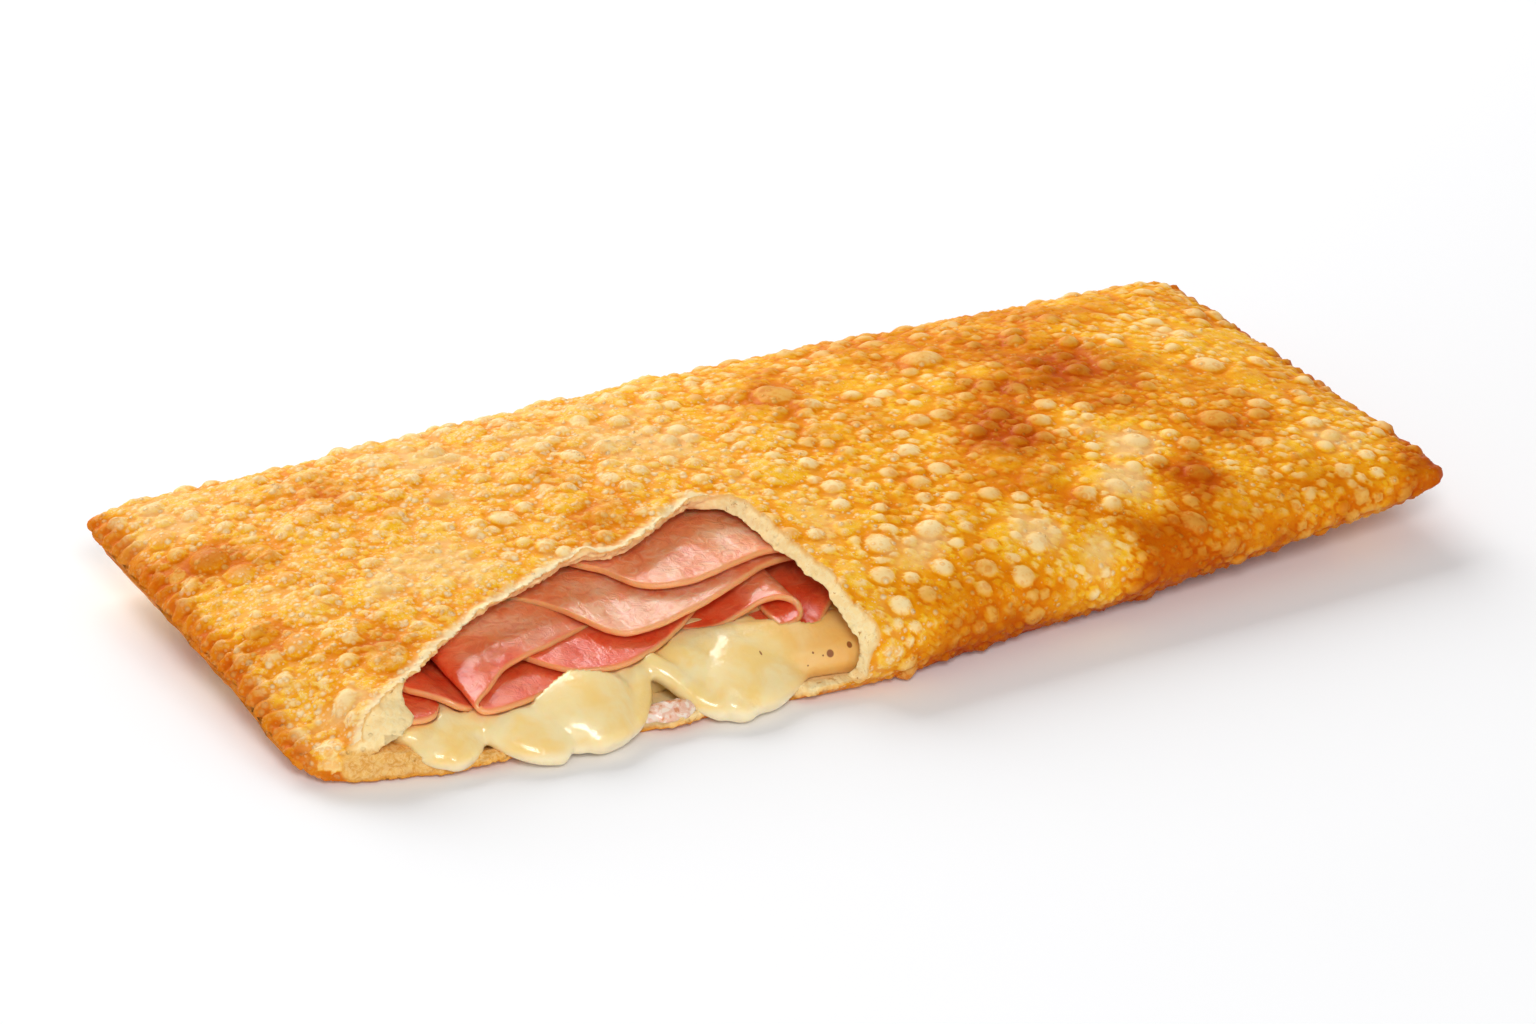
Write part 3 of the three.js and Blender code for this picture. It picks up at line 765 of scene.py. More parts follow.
at = points_of(crust)
at_x, _, at_z = at.T
index, depth = nearest(skin, at)
tear_line, _ = even_curve(TEAR, 1)
tear_line = np.column_stack([tear_line, skin_height(*tear_line.T)])
_, from_tear = nearest(tear_line, at)
sealed = below(at_x, -91, 3.5)
browned = patches(BROWN_PATCHES, at) - patches(PALE_PATCHES, at)
browned += 0.6 * above(at_x, -5, 45) * (1 - 0.5 * above(at_x, 60, 25))
# Darker towards the bottom of the right half
browned += (0.5 * below(at_z, 15, 8) + 1.1 * below(at_z, 6.5, 4)) * above(at_x, -8, 20)
end_rim = below(from_end, 5, 5) + 0.8 * below(z, 4.5, 4) * above(z, -0.5, 0.5)
looks = {
    "depth": depth * (1 - sealed),
    "blister": np.clip(pale, -1, 1)[index] * (depth < 0.3),
    "groove": groove[index],
    "crest": crest[index],
    "flaky": to_left[index],
    "browned": browned,
    "torn": np.exp(-from_tear / TORN_REACH),
    "baked": below(at_z, 7, 2) * below(at_x, -56, 8),
    "under": below(at_z, 1.7, 1.3),
    "rim": np.clip(end_rim, 0, 1).ravel()[index],
}
for name, values in looks.items():
    write_attribute(crust, name, values)

# Fried dough is a dull golden skin with a film of oil. Its thin blisters are pale. Raised places
# are painted paler still, partly as painted highlight, and its hollows and the grooves round the
# blisters darker, as painted shade; the cream tops of the tiniest bubbles are partly painted
# glints. The torn edges show a cream crumb, whose holes are dark dots of painted shade. The
# patterns have real sizes, down to the finest bubbles that show in the render. Real ones are
# finer still.
CLOUDS = 9
GRAIN = 1.6
FLAKES = 1.1
# Bubbles too small for the mesh: how far apart, and their radii as shares of that
BEADS = (1.9, 0.2, 0.46)
PINHEADS = (1.05, 0.2, 0.46)
SPECKS = (0.62, 0.22, 0.46)
# How deep in the dough its skin ends, and the golden layer under the skin
SKIN_DEPTH = (0.08, 0.3)
GOLDEN_DEPTH = (0.3, 0.8)
LEAST_CRUMB = 0.35
coords = add_node(dough, "TexCoord", output="Object")
depth, blister, groove, crest, flaky, browned, torn, baked, under, rim = (
    add_node(dough, "Attribute", output="Fac", attribute_name=name) for name in looks
)
sockets = {"Vector": coords, "Detail": 4, "Roughness": 0.6}
clouds, grain = (
    add_node(dough, "TexNoise", {**sockets, "Scale": 1 / (size * MM)}) for size in (CLOUDS, GRAIN)
)
sockets = {"Vector": coords, "Scale": 1 / (FLAKES * MM), "Detail": 5, "Roughness": 0.7, "Distortion": 1.2}
flakes = add_node(dough, "TexNoise", sockets)


def tiny_bubbles(spacing, least, most):
    """How far out from the middle of a bubble too small for the mesh each point is, in its radii."""
    sockets = {"Vector": coords, "Scale": 1 / (spacing * MM), "Randomness": 1}
    cells = add_node(dough, "TexVoronoi", sockets).node.outputs
    chance = add_node(dough, "SeparateColor", {"Color": cells["Color"]})
    radius = add_node(dough, "MapRange", {"Value": chance, "To Min": least, "To Max": most})
    return add_node(dough, "Math", {0: cells["Distance"], 1: radius}, operation="DIVIDE")


# Towards the left the flakes are stronger and both kinds of bubbles larger, and the tone of the
# whole follows the browned patches.
flakes, beads, pinheads, tone = (
    add_node(dough, "Math", {0: source, 1: share, 2: pattern}, operation="MULTIPLY_ADD")
    for source, share, pattern in (
        (flaky, 0.1, flakes),
        (flaky, -0.25, tiny_bubbles(*BEADS)),
        (flaky, -0.5, tiny_bubbles(*PINHEADS)),
        (browned, 0.45, clouds),
    )
)
specks = tiny_bubbles(*SPECKS)


def coated(material, base, coats):
    """A base colour under coats. Each has what it follows, where it starts and where it is full,
    how strong it is there and its colour, and some say that they darken what is under them."""
    colour = linear(base)
    for source, start, end, most, tint, *darker in coats:
        sockets = {"Value": source, "From Min": start, "From Max": end, "To Max": most}
        mask = add_node(material, "MapRange", sockets, interpolation_type="SMOOTHSTEP")
        sockets = {0: mask, 6: colour, 7: linear(tint)}
        blend = darker[0] if darker else "MIX"
        colour = add_node(material, "Mix", sockets, 2, data_type="RGBA", blend_type=blend)
    return colour


COATS = [
    (grain, 0.5, 0.34, 0.5, "#F69E04"),
    (grain, 0.52, 0.68, 0.4, "#FCD060"),
    (flakes, 0.6, 0.72, 0.5, "#FFEAB8"),
    # Pale specks of the finest bubbles: partly their own cream, partly painted glints
    (specks, 0.95, 0.5, 0.2, "#FEE098"),
    # Raised places paler: partly painted highlight
    (crest, 0.04, 0.5, 0.65, "#FFE4A6"),
    (blister, 0.1, 0.8, 0.5, "#FFE8B8"),
    # Hollows darker: painted shade
    (crest, 0, -0.18, 0.78, "#EE8C00"),
    (blister, -0.1, -0.8, 0.5, "#EC8A00"),
    # Grooves round the blisters darker: painted shade
    (groove, 0.25, 0.9, 0.55, "#E48400"),
    # Beads and pinheads: darker rings round their feet are painted shade, and their cream tops are partly
    # painted glints
    (beads, 1.25, 0.85, 0.4, "#F49A00"),
    (beads, 0.75, 0.2, 0.7, "#FFEAB8"),
    (pinheads, 1, 0.6, 0.3, "#F6A000"),
    (pinheads, 0.5, 0, 0.4, "#FFF0CC"),
    (tone, 0.54, 0.1, 0.65, "#F6D090"),
    (tone, 0.5, 0.85, 1, "#ECCA84", "MULTIPLY"),
    (tone, 0.75, 1.15, 1, "#DCB06A", "MULTIPLY"),
    (rim, 0.1, 1, 0.9, "#E2A44E", "MULTIPLY"),
    (torn, 0.3, 0.8, 0.9, "#FFECBE"),
]
colour = coated(dough, "#FBBE26", COATS)
CRUMB_COATS = [
    (grain, 0.35, 0.6, 1, "#FFEEC0"),
    (baked, 0.1, 0.9, 0.9, "#E09C3C"),
    (grain, 0.46, 0.58, 0.5, "#F8C870"),
    (flakes, 0.54, 0.66, 0.45, "#FFDE9C"),
    # Dark dots for the crumb's holes, which are not cut: painted shade
    (flakes, 0.46, 0.38, 0.8, "#B87024"),
    (under, 0.2, 1, 0.9, "#D07C18"),
]
crumb = coated(dough, "#FCE0A0", CRUMB_COATS)
inside, deep_inside = (
    add_node(dough, "MapRange", {"Value": depth, "From Min": start, "From Max": end, "To Min": least})
    for start, end, least in ((*SKIN_DEPTH, 0), (*GOLDEN_DEPTH, LEAST_CRUMB))
)
crumb = add_node(dough, "Mix", {0: deep_inside, 6: linear("#F0AE4A"), 7: crumb}, 2, data_type="RGBA")
colour = add_node(dough, "Mix", {0: inside, 6: colour, 7: crumb}, 2, data_type="RGBA")
relief = add_node(dough, "Bump", {"Height": grain, "Strength": 0.3, "Distance": 0.3 * MM})
for outness, height in ((beads, 0.26), (pinheads, 0.06)):
    sockets = {"Value": outness, "From Min": 0.7, "From Max": 0}
    dome = add_node(dough, "MapRange", sockets, interpolation_type="SMOOTHSTEP")
    sockets = {"Height": dome, "Strength": 0.8, "Distance": height * MM, "Normal": relief}
    relief = add_node(dough, "Bump", sockets)
roughness = add_node(dough, "MapRange", {"Value": inside, "To Min": 0.38, "To Max": 0.75})
join(dough, crust_shader, {
    "Base Color": colour,
    "Roughness": roughness,
    "IOR": 1.45,
    "Specular IOR Level": 0.035,
    "Normal": relief,
})
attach(crust, "root")
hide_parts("crust")

# The ham
# Eight thin slices of cooked ham, folded loosely between the cheese and the crust. Each is drawn
# from its visible edge to its far edge under the crust.
HAM = 1.1
SLICES = {
    "ham_left_low": {
        "front": [
            (-85, -33.6, 8.6), (-83.4, -36.4, 8.1), (-80.6, -37.4, 7.9), (-77.9, -36.9, 7.8),
            (-75.6, -34, 7.8),
        ],
        "back": [(-88, 0, 9.6), (-84, 1, 9.6), (-80, 2, 9.5), (-77, 2, 9.4), (-73, 1, 9.2)],
    },
    "ham_right": {
        "front": [
            (-20, -33, 7.6), (-15.5, -37.3, 8), (-12.4, -38.8, 8.8), (-9.6, -36.8, 9.8),
            (-4, -33, 10.8), (10, -31, 11), (35, -30, 10.6), (56, -26, 10.6),
        ],
        "depth": 20,
        "height": 11.6,
    },
    "ham_left": {
        "front": [
            (-81.4, -26.5, 10.4), (-79.2, -30.6, 10), (-76.9, -32.8, 9.4), (-74.9, -35.2, 8.9),
            (-72.8, -36.4, 8), (-69.5, -36, 6.9), (-63, -33, 6.8),
        ],
        "back": [
            (-82, 0, 11), (-80, 1, 11), (-77, 2, 10.8), (-75, 3, 10), (-73, 3, 8.6), (-69, 3, 7.8),
            (-61, 3, 7.5),
        ],
    },
    "ham_folded": {
        "front": [
            (-44, -25, 10.5), (-54.4, -29, 10.7), (-63, -31.6, 10.4), (-67.7, -35.5, 9.7),
            (-71.2, -38.4, 8.9), (-70.6, -39.5, 8.2), (-66.3, -39.6, 8), (-58.7, -37.6, 7.9),
            (-53, -35, 7.9), (-48, -32, 7.9),
        ],
        "back": [
            (-43, 4, 13.2), (-53, 4, 13.3), (-62, 4, 13.2), (-67, 4, 12.9), (-70.2, 4, 11.4),
            (-69.4, 4, 9.9), (-65.5, 4, 9.4), (-59, 4, 9.2), (-53, 4, 9.1), (-48, 4, 9.1),
        ],
    },
    "ham_low": {
        "front": [
            (-60, -26, 9.9), (-57, -32, 9.6), (-54, -35.8, 9.4), (-50.8, -37.4, 9.3), (-46.8, -38, 9.3),
            (-39.3, -35.8, 9.6), (-34.6, -33, 9.9), (-31, -30.6, 10.2), (-26, -26, 10.4),
        ],
        "depth": 6,
        "height": 11.3,
    },
    "ham_curl": {
        "front": [
            (-32.4, -30.4, 8.6), (-27.5, -32.7, 9), (-22, -32, 9.9), (-18.4, -31.8, 11),
            (-15.8, -33.2, 11.7), (-14, -35.2, 11.1), (-14.2, -36.9, 10), (-16, -37.5, 9.3),
            (-18.2, -36.9, 9),
        ],
        "back": [
            (-34, -6, 9.9), (-28, -8, 10.2), (-23, -9, 10.9), (-19, -10, 12), (-15.8, -10.5, 12.4),
            (-13.4, -11, 11.6), (-13.6, -11.5, 10.6), (-15.6, -12, 10), (-18.2, -12, 9.8),
        ],
    },
    "ham_long": {
        "front": [
            (-63, -6, 13.2), (-56.4, -13.8, 12.7), (-52.8, -16.5, 12.6), (-49.5, -20.5, 12.5),
            (-47, -26, 12.3), (-44.8, -31.2, 11.9), (-42.3, -33, 11.7), (-38.2, -33.2, 12),
            (-32.7, -32.4, 12.5), (-25.4, -30.4, 13.1), (-19.5, -27.8, 13.6), (-14.5, -25.8, 13.8),
            (-4, -25, 13.5), (20, -25, 13), (46, -21, 12.5),
        ],
        "depth": 24,
        "height": 14.3,
    },
    "ham_top": {
        "front": [
            (-49, -3, 16), (-44, -9, 15.4), (-42, -13, 15), (-38.9, -17, 14.8), (-36.6, -22.9, 14.6),
            (-34.4, -25.4, 14.6), (-29.9, -27.2, 14.9), (-24.6, -27, 15.2), (-20.2, -25.9, 15.5),
            (-14.2, -25, 15.6), (-9.6, -25.6, 15.3), (0, -25, 15), (25, -24, 14.6), (48, -19, 14.1),
        ],
        "depth": 22,
        "height": 16,
    },
}
# Rows of points follow the edge, close together at its rounding, and columns run back from it
EDGE_ROWS = [0, 0.04, 0.12, 0.25, 0.4, 0.6, 0.9, 1.3, 1.8, 2.4]
ROWS_FROM = 3.1
ROW_STEP = 0.75
FINE_DEPTH = 18
DEEP_ROWS = 6
COLUMN_STEP = 0.45
END_COLUMNS = np.array([0.15, 0.45])
# How far a slice waves, over 6 mm, and how uneven it is, over 1.6 mm
WAVES = 0.22
UNEVEN = 0.05
THIN_EDGE = 0.02
# How far in the smoked rim reaches, and below what height the meat is painted darker, as painted shade
SMOKED = 0.7
SHADED_BELOW = (13, 3)


def ham_slice(name, lines):
    """A slice as a closed thin sheet with a rounded edge, and how near each point is to that edge."""
    far = lines.get("back")
    if far is None:
        far = [(x, lines["depth"], lines["height"]) for x, _, _ in lines["front"]]
    length = norm(np.diff(np.array(lines["front"], float), axis=0), axis=1).sum()
    columns = round(length / COLUMN_STEP)
    even = np.linspace(0, 1, columns)
    last = 1 - (1 / columns) * END_COLUMNS[::-1]
    shares = np.concatenate([[0], even[1] * END_COLUMNS, even[1:-1], last, [1]])
    front = curve_through(lines["front"], shares)
    back = curve_through(far, shares)
    reach = norm(back - front, axis=1).mean()
    deep = min(FINE_DEPTH, reach)
    inner = np.arange(ROWS_FROM, deep, ROW_STEP)
    rows = np.concatenate([EDGE_ROWS, inner, np.linspace(deep, reach, DEEP_ROWS)])
    t = (rows / reach)[:, None]
    grid = mix(front, back, np.stack([t, t, np.sin(t * math.pi / 2)], -1))
    normal = unit(np.cross(np.gradient(grid, axis=1), np.gradient(grid, axis=0)), 1e-9)
    seed = len(name)
    grid += normal * (WAVES * field(grid, 6, 2, seed) + UNEVEN * field(grid, 1.6, 2, seed))[..., None]
    sides = (norm(grid - grid[:, [k]], axis=-1) for k in (0, -1))
    from_edge = np.minimum(rows[:, None], np.minimum(*sides))
    round_edge = 1 - np.clip(from_edge / (HAM / 2), 0, 1)
    thick = HAM * np.sqrt(1 - round_edge**2) + THIN_EDGE
    outline = [(grid + side * normal * thick[..., None] / 2).reshape(-1, 3) for side in (1, -1)]
    height, width = thick.shape
    total = height * width
    index = np.arange(total).reshape(height, width)
    faces = []
    for i in range(height - 1):
        for j in range(width - 1):
            face = (index[i, j], index[i + 1, j], index[i + 1, j + 1], index[i, j + 1])
            faces.append(face)
            faces.append(tuple(total + k for k in face[::-1]))
    border = [*index[0, :-1], *index[:-1, -1], *index[-1, :0:-1], *index[:0:-1, 0]]
    for a, b in zip(border, border[1:] + border[:1]):
        faces.append((a, b, b + total, a + total))
    return np.concatenate(outline), faces, np.tile(from_edge.ravel(), 2)


meat, ham_shader = new_material("cooked ham")
ham_points = []
ham_faces = []
for name, lines in SLICES.items():
    outline, faces, from_edge = ham_slice(name, lines)
    ham_faces += [[i + len(ham_points) for i in face] for face in faces]
    ham_points += outline.tolist()
    piece = make_piece(name + "_slice", outline, faces, [meat])
    write_attribute(piece, "edge", np.exp(-from_edge / SMOKED))
    # How low each point lies, for the painted shade on the lower slices
    write_attribute(piece, "low_shade", below(outline[:, 2], *SHADED_BELOW))
    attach(piece, "root")
    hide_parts(name)

# Cooked ham is a pale pink meat with darker and lighter patches. Its cut rim is orange from the
# smoke, and its wet faces shine. The lower slices are painted darker, as painted shade. Real pores
# are finer, and are drawn as coarse as they need to show.
coords = add_node(meat, "TexCoord", output="Object")
edge, low_shade = (
    add_node(meat, "Attribute", output="Fac", attribute_name=name) for name in ("edge", "low_shade")
)
patchy, fibres, pores = (
    add_node(
        meat,
        "TexNoise",
        {"Vector": coords, "Scale": 1 / (size * MM), "Detail": detail, "Distortion": twist},
    )
    for size, detail, twist in ((9, 3, 0.5), (2.2, 5, 1.5), (0.9, 3, 0))
)
HAM_COATS = [
    (patchy, 0.45, 0.62, 0.75, "#FFB690"),
    (patchy, 0.45, 0.3, 0.5, "#E87046"),
    (fibres, 0.5, 0.68, 0.4, "#FFC8A2"),
    (fibres, 0.48, 0.34, 0.35, "#D85836"),
    # Painted shade: the lower slices darker
    (low_shade, 0, 1, 1, "#F69C7A", "MULTIPLY"),
    (edge, 0.3, 0.95, 0.9, "#FFB070"),
]
colour = coated(meat, "#FA905E", HAM_COATS)
# The wet film lies in fine streaks along the slices
STREAK = (0.5, 5, 2)
sockets = {0: coords, 1: [1 / (size * MM) for size in STREAK]}
streaked = add_node(meat, "VectorMath", sockets, operation="MULTIPLY")
streaks = add_node(meat, "TexNoise", {"Vector": streaked, "Scale": 1, "Detail": 3, "Distortion": 0.6})
film = add_node(meat, "Bump", {"Height": streaks, "Strength": 0.6, "Distance": 0.2 * MM})
relief = add_node(meat, "Bump", {"Height": fibres, "Strength": 0.5, "Distance": 0.5 * MM})
sockets = {"Height": pores, "Strength": 0.3, "Distance": 0.15 * MM, "Normal": relief}
relief = add_node(meat, "Bump", sockets)
sockets = {"Value": patchy, "From Min": 0.35, "From Max": 0.65, "To Min": 0.35, "To Max": 0.55}
roughness = add_node(meat, "MapRange", sockets)
join(meat, ham_shader, {
    "Base Color": colour,
    "Roughness": roughness,
    "IOR": 1.4,
    "Coat Weight": 0.65,
    "Coat Roughness": 0.05,
    "Coat Normal": film,
    "Subsurface Weight": 0.75,
    "Subsurface Radius": (1, 0.22, 0.08),
    "Subsurface Scale": 2.6 * MM,
    "Normal": relief,
})

# The melted cheese
# Sliced cheese that melted round the ham and filled the hollow, and ran out over the torn sheet
# in soft tongues. Its skin is smooth and wet with fat.
CHEESE_LEVEL = 9.6
SINKS_LEFT = 2.2
CHEESE_BACK = -4
# How far it swells in front of the ham, at the left and at the right
SWELL = (4.5, 8)
CHEESE_FACE = [
    (-85.5, -34), (-84, -37.4), (-80, -39.4), (-68, -40.6), (-57, -40), (-47, -39.4), (-43.5, -37.6),
    (-38, -37), (-33, -39), (-26, -41.5), (-20, -43.6), (-4, -46),
]
# Each tongue is a row of places along its middle: x, y, z, half its width, half its depth
TONGUES = {
    "left": [
        (-77, -31, 6, 6.8, 2.2), (-76.6, -36, 5.4, 6.8, 2.3), (-76.2, -39.2, 4, 6.2, 2.4),
        (-75.2, -41.6, 2.8, 3.9, 1.9),
    ],
    "second": [
        (-71, -31, 5.6, 3.4, 2.4), (-68.5, -36.5, 5.4, 4.2, 2.6), (-66, -40.2, 4.6, 5, 2.7),
        (-63.2, -42.6, 3.8, 5.4, 2.5), (-60, -44.2, 3.1, 5, 2.1),
    ],
    "fill": [(-61, -40, 3.8, 3.4, 2), (-58.2, -43, 3.3, 3.6, 2), (-56.4, -45, 2.7, 3.2, 1.8)],
    "third": [
        (-55.5, -32, 7, 8, 2.8), (-54.6, -38, 6.6, 8.4, 3.2), (-53.6, -42.6, 5, 7.6, 3.3),
        (-52.8, -46.2, 2.9, 4.8, 2.6),
    ],
    "third_lip": [
        (-44.2, -33, 7.4, 1.9, 1.9), (-43.9, -37.8, 6.6, 2.2, 2.1), (-45.2, -41, 4.9, 2.4, 2.2),
        (-48.2, -44, 3.4, 2.5, 2.3), (-52, -45.8, 2.6, 2.3, 2.2),
    ],
    "fourth": [
        (-19, -32, 6.4, 9, 2.6), (-22, -37.4, 5.8, 8.8, 3), (-26, -41.3, 4.7, 7.9, 3.5),
        (-29.6, -44.8, 3.7, 6.2, 3.2), (-31.4, -46.8, 2.6, 3.7, 2.2),
    ],
    "bridge": [
        (-42, -33, 8.6, 1.9, 1.7), (-40.6, -37.2, 7.8, 2, 1.8), (-38.6, -39.4, 6.5, 2, 1.8),
        (-37, -41.6, 5, 2.1, 1.8), (-35.2, -44, 3.5, 2.2, 1.9), (-33, -45.8, 2.4, 2.2, 1.8),
    ],
    "apron": [
        (-38, -30, 8, 5, 2), (-35.6, -36, 7.2, 4.6, 2), (-33, -39.6, 6, 4, 2),
        (-30.4, -42.6, 4.4, 3, 2),
    ],
}
# How many points: along the face and up it, along a tongue and round it, and over its tip
FACE_COUNT = 150
PROFILE_COUNT = 70
TONGUE_ROWS = 30
TONGUE_TURNS = 28
TIP_ROWS = 6
CHEESE_VOXEL = 0.42
SMOOTHINGS = 10
GAP_UNDER_HAM = 0.35


def cheese_top(x):
    return CHEESE_LEVEL - SINKS_LEFT * below(x, -45, 20)


def cheese_wall():
    """The front of the cheese, as sections from left to right. It swells in front of the ham."""
    sections = []
    for x, front in curve_through(CHEESE_FACE, np.linspace(0, 1, FACE_COUNT)):
        foot = sheet_top(x) + 0.1
        top = cheese_top(x)
        lip = mix(foot, top, 0.4)
        swell = mix(*SWELL, above(x, -40, 15))
        profile = [
            (CHEESE_BACK, foot - 1), (front + 5, foot - 1), (front + 1.2, foot - 0.6),
            (front + 0.3, mix(foot, lip, 0.3)), (front, mix(foot, lip, 0.7)),
            (front + 0.1 * swell, mix(lip, top, 0.42)), (front + 0.35 * swell, mix(lip, top, 0.75)),
            (front + 0.7 * swell, mix(lip, top, 0.96)), (front + 1.1 * swell, top),
            (front + 1.1 * swell + 5, top - 1.8), (CHEESE_BACK, top - 2.4),
        ]
        outline = curve_through(profile, np.linspace(0, 1, PROFILE_COUNT))
        sections.append(np.column_stack([np.full(PROFILE_COUNT, x), outline]))
    return np.concatenate(sections), tube_faces(FACE_COUNT, PROFILE_COUNT)


def tongue(places):
    """A rounded tongue through places, each with half its width and half its depth."""
    line = curve_through(places, np.linspace(0, 1, TONGUE_ROWS))
    middle, wide, deep = np.split(line, (3, 4), axis=1)
    along = unit(np.gradient(middle, axis=0))
    sideways = unit(np.cross(along, [0, -0.5, 1]))
    forwards = np.cross(sideways, along)
    tip = np.linspace(0, 1, TIP_ROWS + 2)[1:-1]
    middle = np.vstack([middle, middle[-1] + along[-1] * deep[-1, 0] * tip[:, None]])
    thin = np.concatenate([np.ones(TONGUE_ROWS), np.sqrt(1 - tip**2)])[:, None]
    row = np.minimum(np.arange(len(middle)), TONGUE_ROWS - 1)
    turn = np.linspace(0, 2 * math.pi, TONGUE_TURNS, False)[:, None]
    rings = middle[:, None]
    for half, around in ((sideways * wide, np.cos(turn)), (forwards * deep, np.sin(turn))):
        rings = rings + (half[row] * thin)[:, None] * around
    return rings.reshape(-1, 3), tube_faces(len(middle), TONGUE_TURNS)


def together(shapes):
    """Several point and face lists as one."""
    points = []
    faces = []
    total = 0
    for some_points, some_faces in shapes:
        faces += [tuple(total + i for i in face) for face in some_faces]
        points.append(some_points)
        total += len(some_points)
    return np.concatenate(points), faces


def press_under_ham(piece):
    """Presses each point of a piece down to just under the lowest slice over it."""
    ham = bvhtree.BVHTree.FromPolygons(ham_points, ham_faces)
    at = points_of(piece)
    for p in at:
        hit = ham.ray_cast(Vector((p[0], p[1], 0)), Vector((0, 0, 1)))[0]
        if hit is not None:
            p[2] = min(p[2], hit.z - GAP_UNDER_HAM)
    piece.data.vertices.foreach_set("co", ((at + MIDDLE) * MM).ravel())


melt, cheese_shader = new_material("melted cheese")
shapes = [cheese_wall()] + [tongue(places) for places in TONGUES.values()]
cheese = make_piece("melted_cheese", *together(shapes), [melt])
remesh = cheese.modifiers.new("join", "REMESH")
remesh.mode = "VOXEL"
remesh.voxel_size = CHEESE_VOXEL * MM
soften = cheese.modifiers.new("soften", "SMOOTH")
soften.factor = 0.5
soften.iterations = SMOOTHINGS
applied(cheese)
press_under_ham(cheese)

# The rest of the filling, under the crust. In the tear it keeps behind the face of the cheese.
FILLING_ENDS = 1.4
FILLING_GRID = (30, 40)
FILLING_INSET = 2.6
FILLING_END_INSET = 11
FILLING_LOW = 5
BEHIND_FACE = -30
NO_LIMIT = -60
filling = inner_pillow(FILLING_ENDS, *FILLING_GRID, FILLING_INSET, FILLING_END_INSET)
low_part = below(filling[..., 0], -52, 10) * below(filling[..., 1], -5, 10)
filling[..., 2] = np.minimum(filling[..., 2], mix(CHEESE_LEVEL, FILLING_LOW, low_part))
in_tear = above(filling[..., 0], -100, 6) * below(filling[..., 0], -2, 4)
filling[..., 1] = np.maximum(filling[..., 1], mix(NO_LIMIT, BEHIND_FACE, in_tear))
rest = make_piece("filling", filling.reshape(-1, 3), tube_faces(*FILLING_GRID), [])
both = bmesh.new()
both.from_mesh(cheese.data)
both.from_mesh(rest.data)
both.to_mesh(cheese.data)
both.free()
cheese.data.shade_smooth()
bpy.data.objects.remove(rest)

# Melted cheese is pale yellow and lets some light in, with whiter streaks of curd and a wet gloss.
# It is whiter where it has run down thin, and painted darker at the right as painted shade near the
# torn edge of the crust, where brown specks and a small dark hole lie.
at = points_of(cheese)
write_attribute(cheese, "thin", below(at[:, 2], 4.4, 3) * below(at[:, 1], -38, 4))
# Painted shade: darker towards the right, near the torn edge of the crust
write_attribute(cheese, "right_shade", above(at[:, 0], -26, 14))
coords = add_node(melt, "TexCoord", output="Object")
thin, right_shade = (
    add_node(melt, "Attribute", output="Fac", attribute_name=name) for name in ("thin", "right_shade")
)
curd, dimples, ripples = (
    add_node(
        melt,
        "TexNoise",
        {"Vector": coords, "Scale": 1 / (size * MM), "Detail": detail, "Distortion": twist},
    )
    for size, detail, twist in ((7, 3, 0.6), (2, 3, 0), (0.7, 2, 0))
)
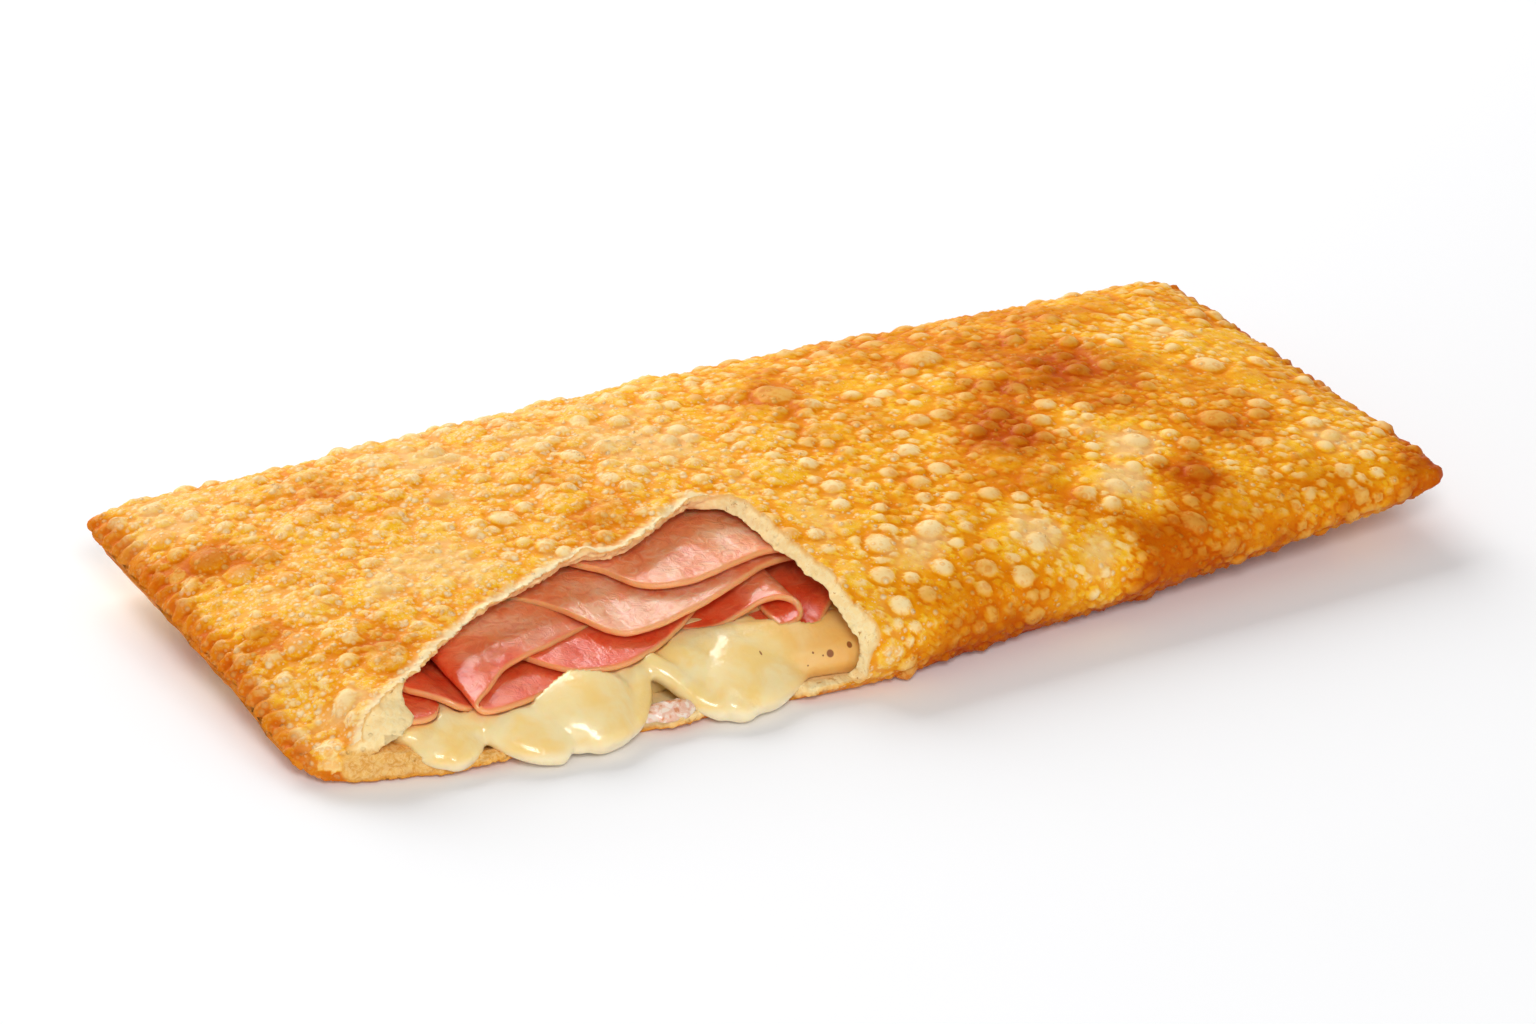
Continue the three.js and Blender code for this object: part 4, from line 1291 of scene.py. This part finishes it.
# Brown spots: x and z on the face of the cheese, and how large. The first is a small hole drawn
# only as a dark spot, so its shade is painted.
BROWN_SPOTS = [
    (-13.2, 6.5, 0.55), (-9.8, 7.2, 0.4), (-15.9, 7, 0.16), (-14.4, 6.4, 0.14), (-17, 5.2, 0.14),
    (-24, 8, 0.16),
]
spot_coats = []
flat = add_node(melt, "VectorMath", {0: coords, 1: (1 / MM, 0, 1 / MM)}, operation="MULTIPLY")
for place_x, place_z, size in BROWN_SPOTS:
    sockets = {0: flat, 1: (place_x, 0, place_z)}
    away = add_node(melt, "VectorMath", sockets, "Value", operation="DISTANCE")
    spot_coats.append((away, 1.25 * size, 0.85 * size, 0.9, "#8A4212"))
CHEESE_COATS = [
    (curd, 0.3, 0.7, 1, "#FFE6AE"),
    (thin, 0.1, 0.9, 0.7, "#FFEDCC"),
    # Painted shade at the right
    (right_shade, 0.1, 1, 0.9, "#F6D8A4", "MULTIPLY"),
    *spot_coats,
]
relief = add_node(melt, "Bump", {"Height": dimples, "Strength": 0.35, "Distance": 0.5 * MM})
sockets = {"Height": ripples, "Strength": 0.35, "Distance": 0.12 * MM, "Normal": relief}
relief = add_node(melt, "Bump", sockets)
join(melt, cheese_shader, {
    "Base Color": coated(melt, "#FFD47E", CHEESE_COATS),
    "Roughness": 0.3,
    "IOR": 1.45,
    "Coat Weight": 0.6,
    "Coat Roughness": 0.07,
    "Subsurface Weight": 0.4,
    "Subsurface Radius": (1, 0.65, 0.3),
    "Subsurface Scale": 2.2 * MM,
    "Normal": relief,
})
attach(cheese, "root")
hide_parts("cheese")

# The juice
# A film of ham juice that has set to a pink jelly on the torn sheet, between two tongues of cheese.
JUICE = [
    (-47, -42.4, 3.7, 1.3, 0.8), (-44, -43.8, 3.5, 1.7, 1), (-41, -44.4, 3.3, 1.9, 1.1),
    (-38.4, -44, 3.2, 1.5, 1), (-36, -43, 3.6, 1, 0.7),
]
LUMPY = 0.35
jelly, jelly_shader = new_material("set ham juice")
points, faces = tongue(JUICE)
points = points + LUMPY * field(points, 1.8, 2, 60)[:, None]
juice = make_piece("ham_juice", points, faces, [jelly])
# Set juice is a clear pink jelly with pale fat in it, and very glossy
coords = add_node(jelly, "TexCoord", output="Object")
sockets = {"Vector": coords, "Scale": 1 / (1.6 * MM), "Detail": 3, "Distortion": 1}
swirl = add_node(jelly, "TexNoise", sockets)
JUICE_COATS = [(swirl, 0.48, 0.6, 0.9, "#FBE6D6"), (swirl, 0.45, 0.36, 0.8, "#DC8C5C")]
join(jelly, jelly_shader, {
    "Base Color": coated(jelly, "#F2C4AA", JUICE_COATS),
    "Roughness": 0.12,
    "IOR": 1.38,
    "Subsurface Weight": 0.5,
    "Subsurface Radius": (1, 0.5, 0.3),
    "Subsurface Scale": 1.5 * MM,
})
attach(juice, "root")
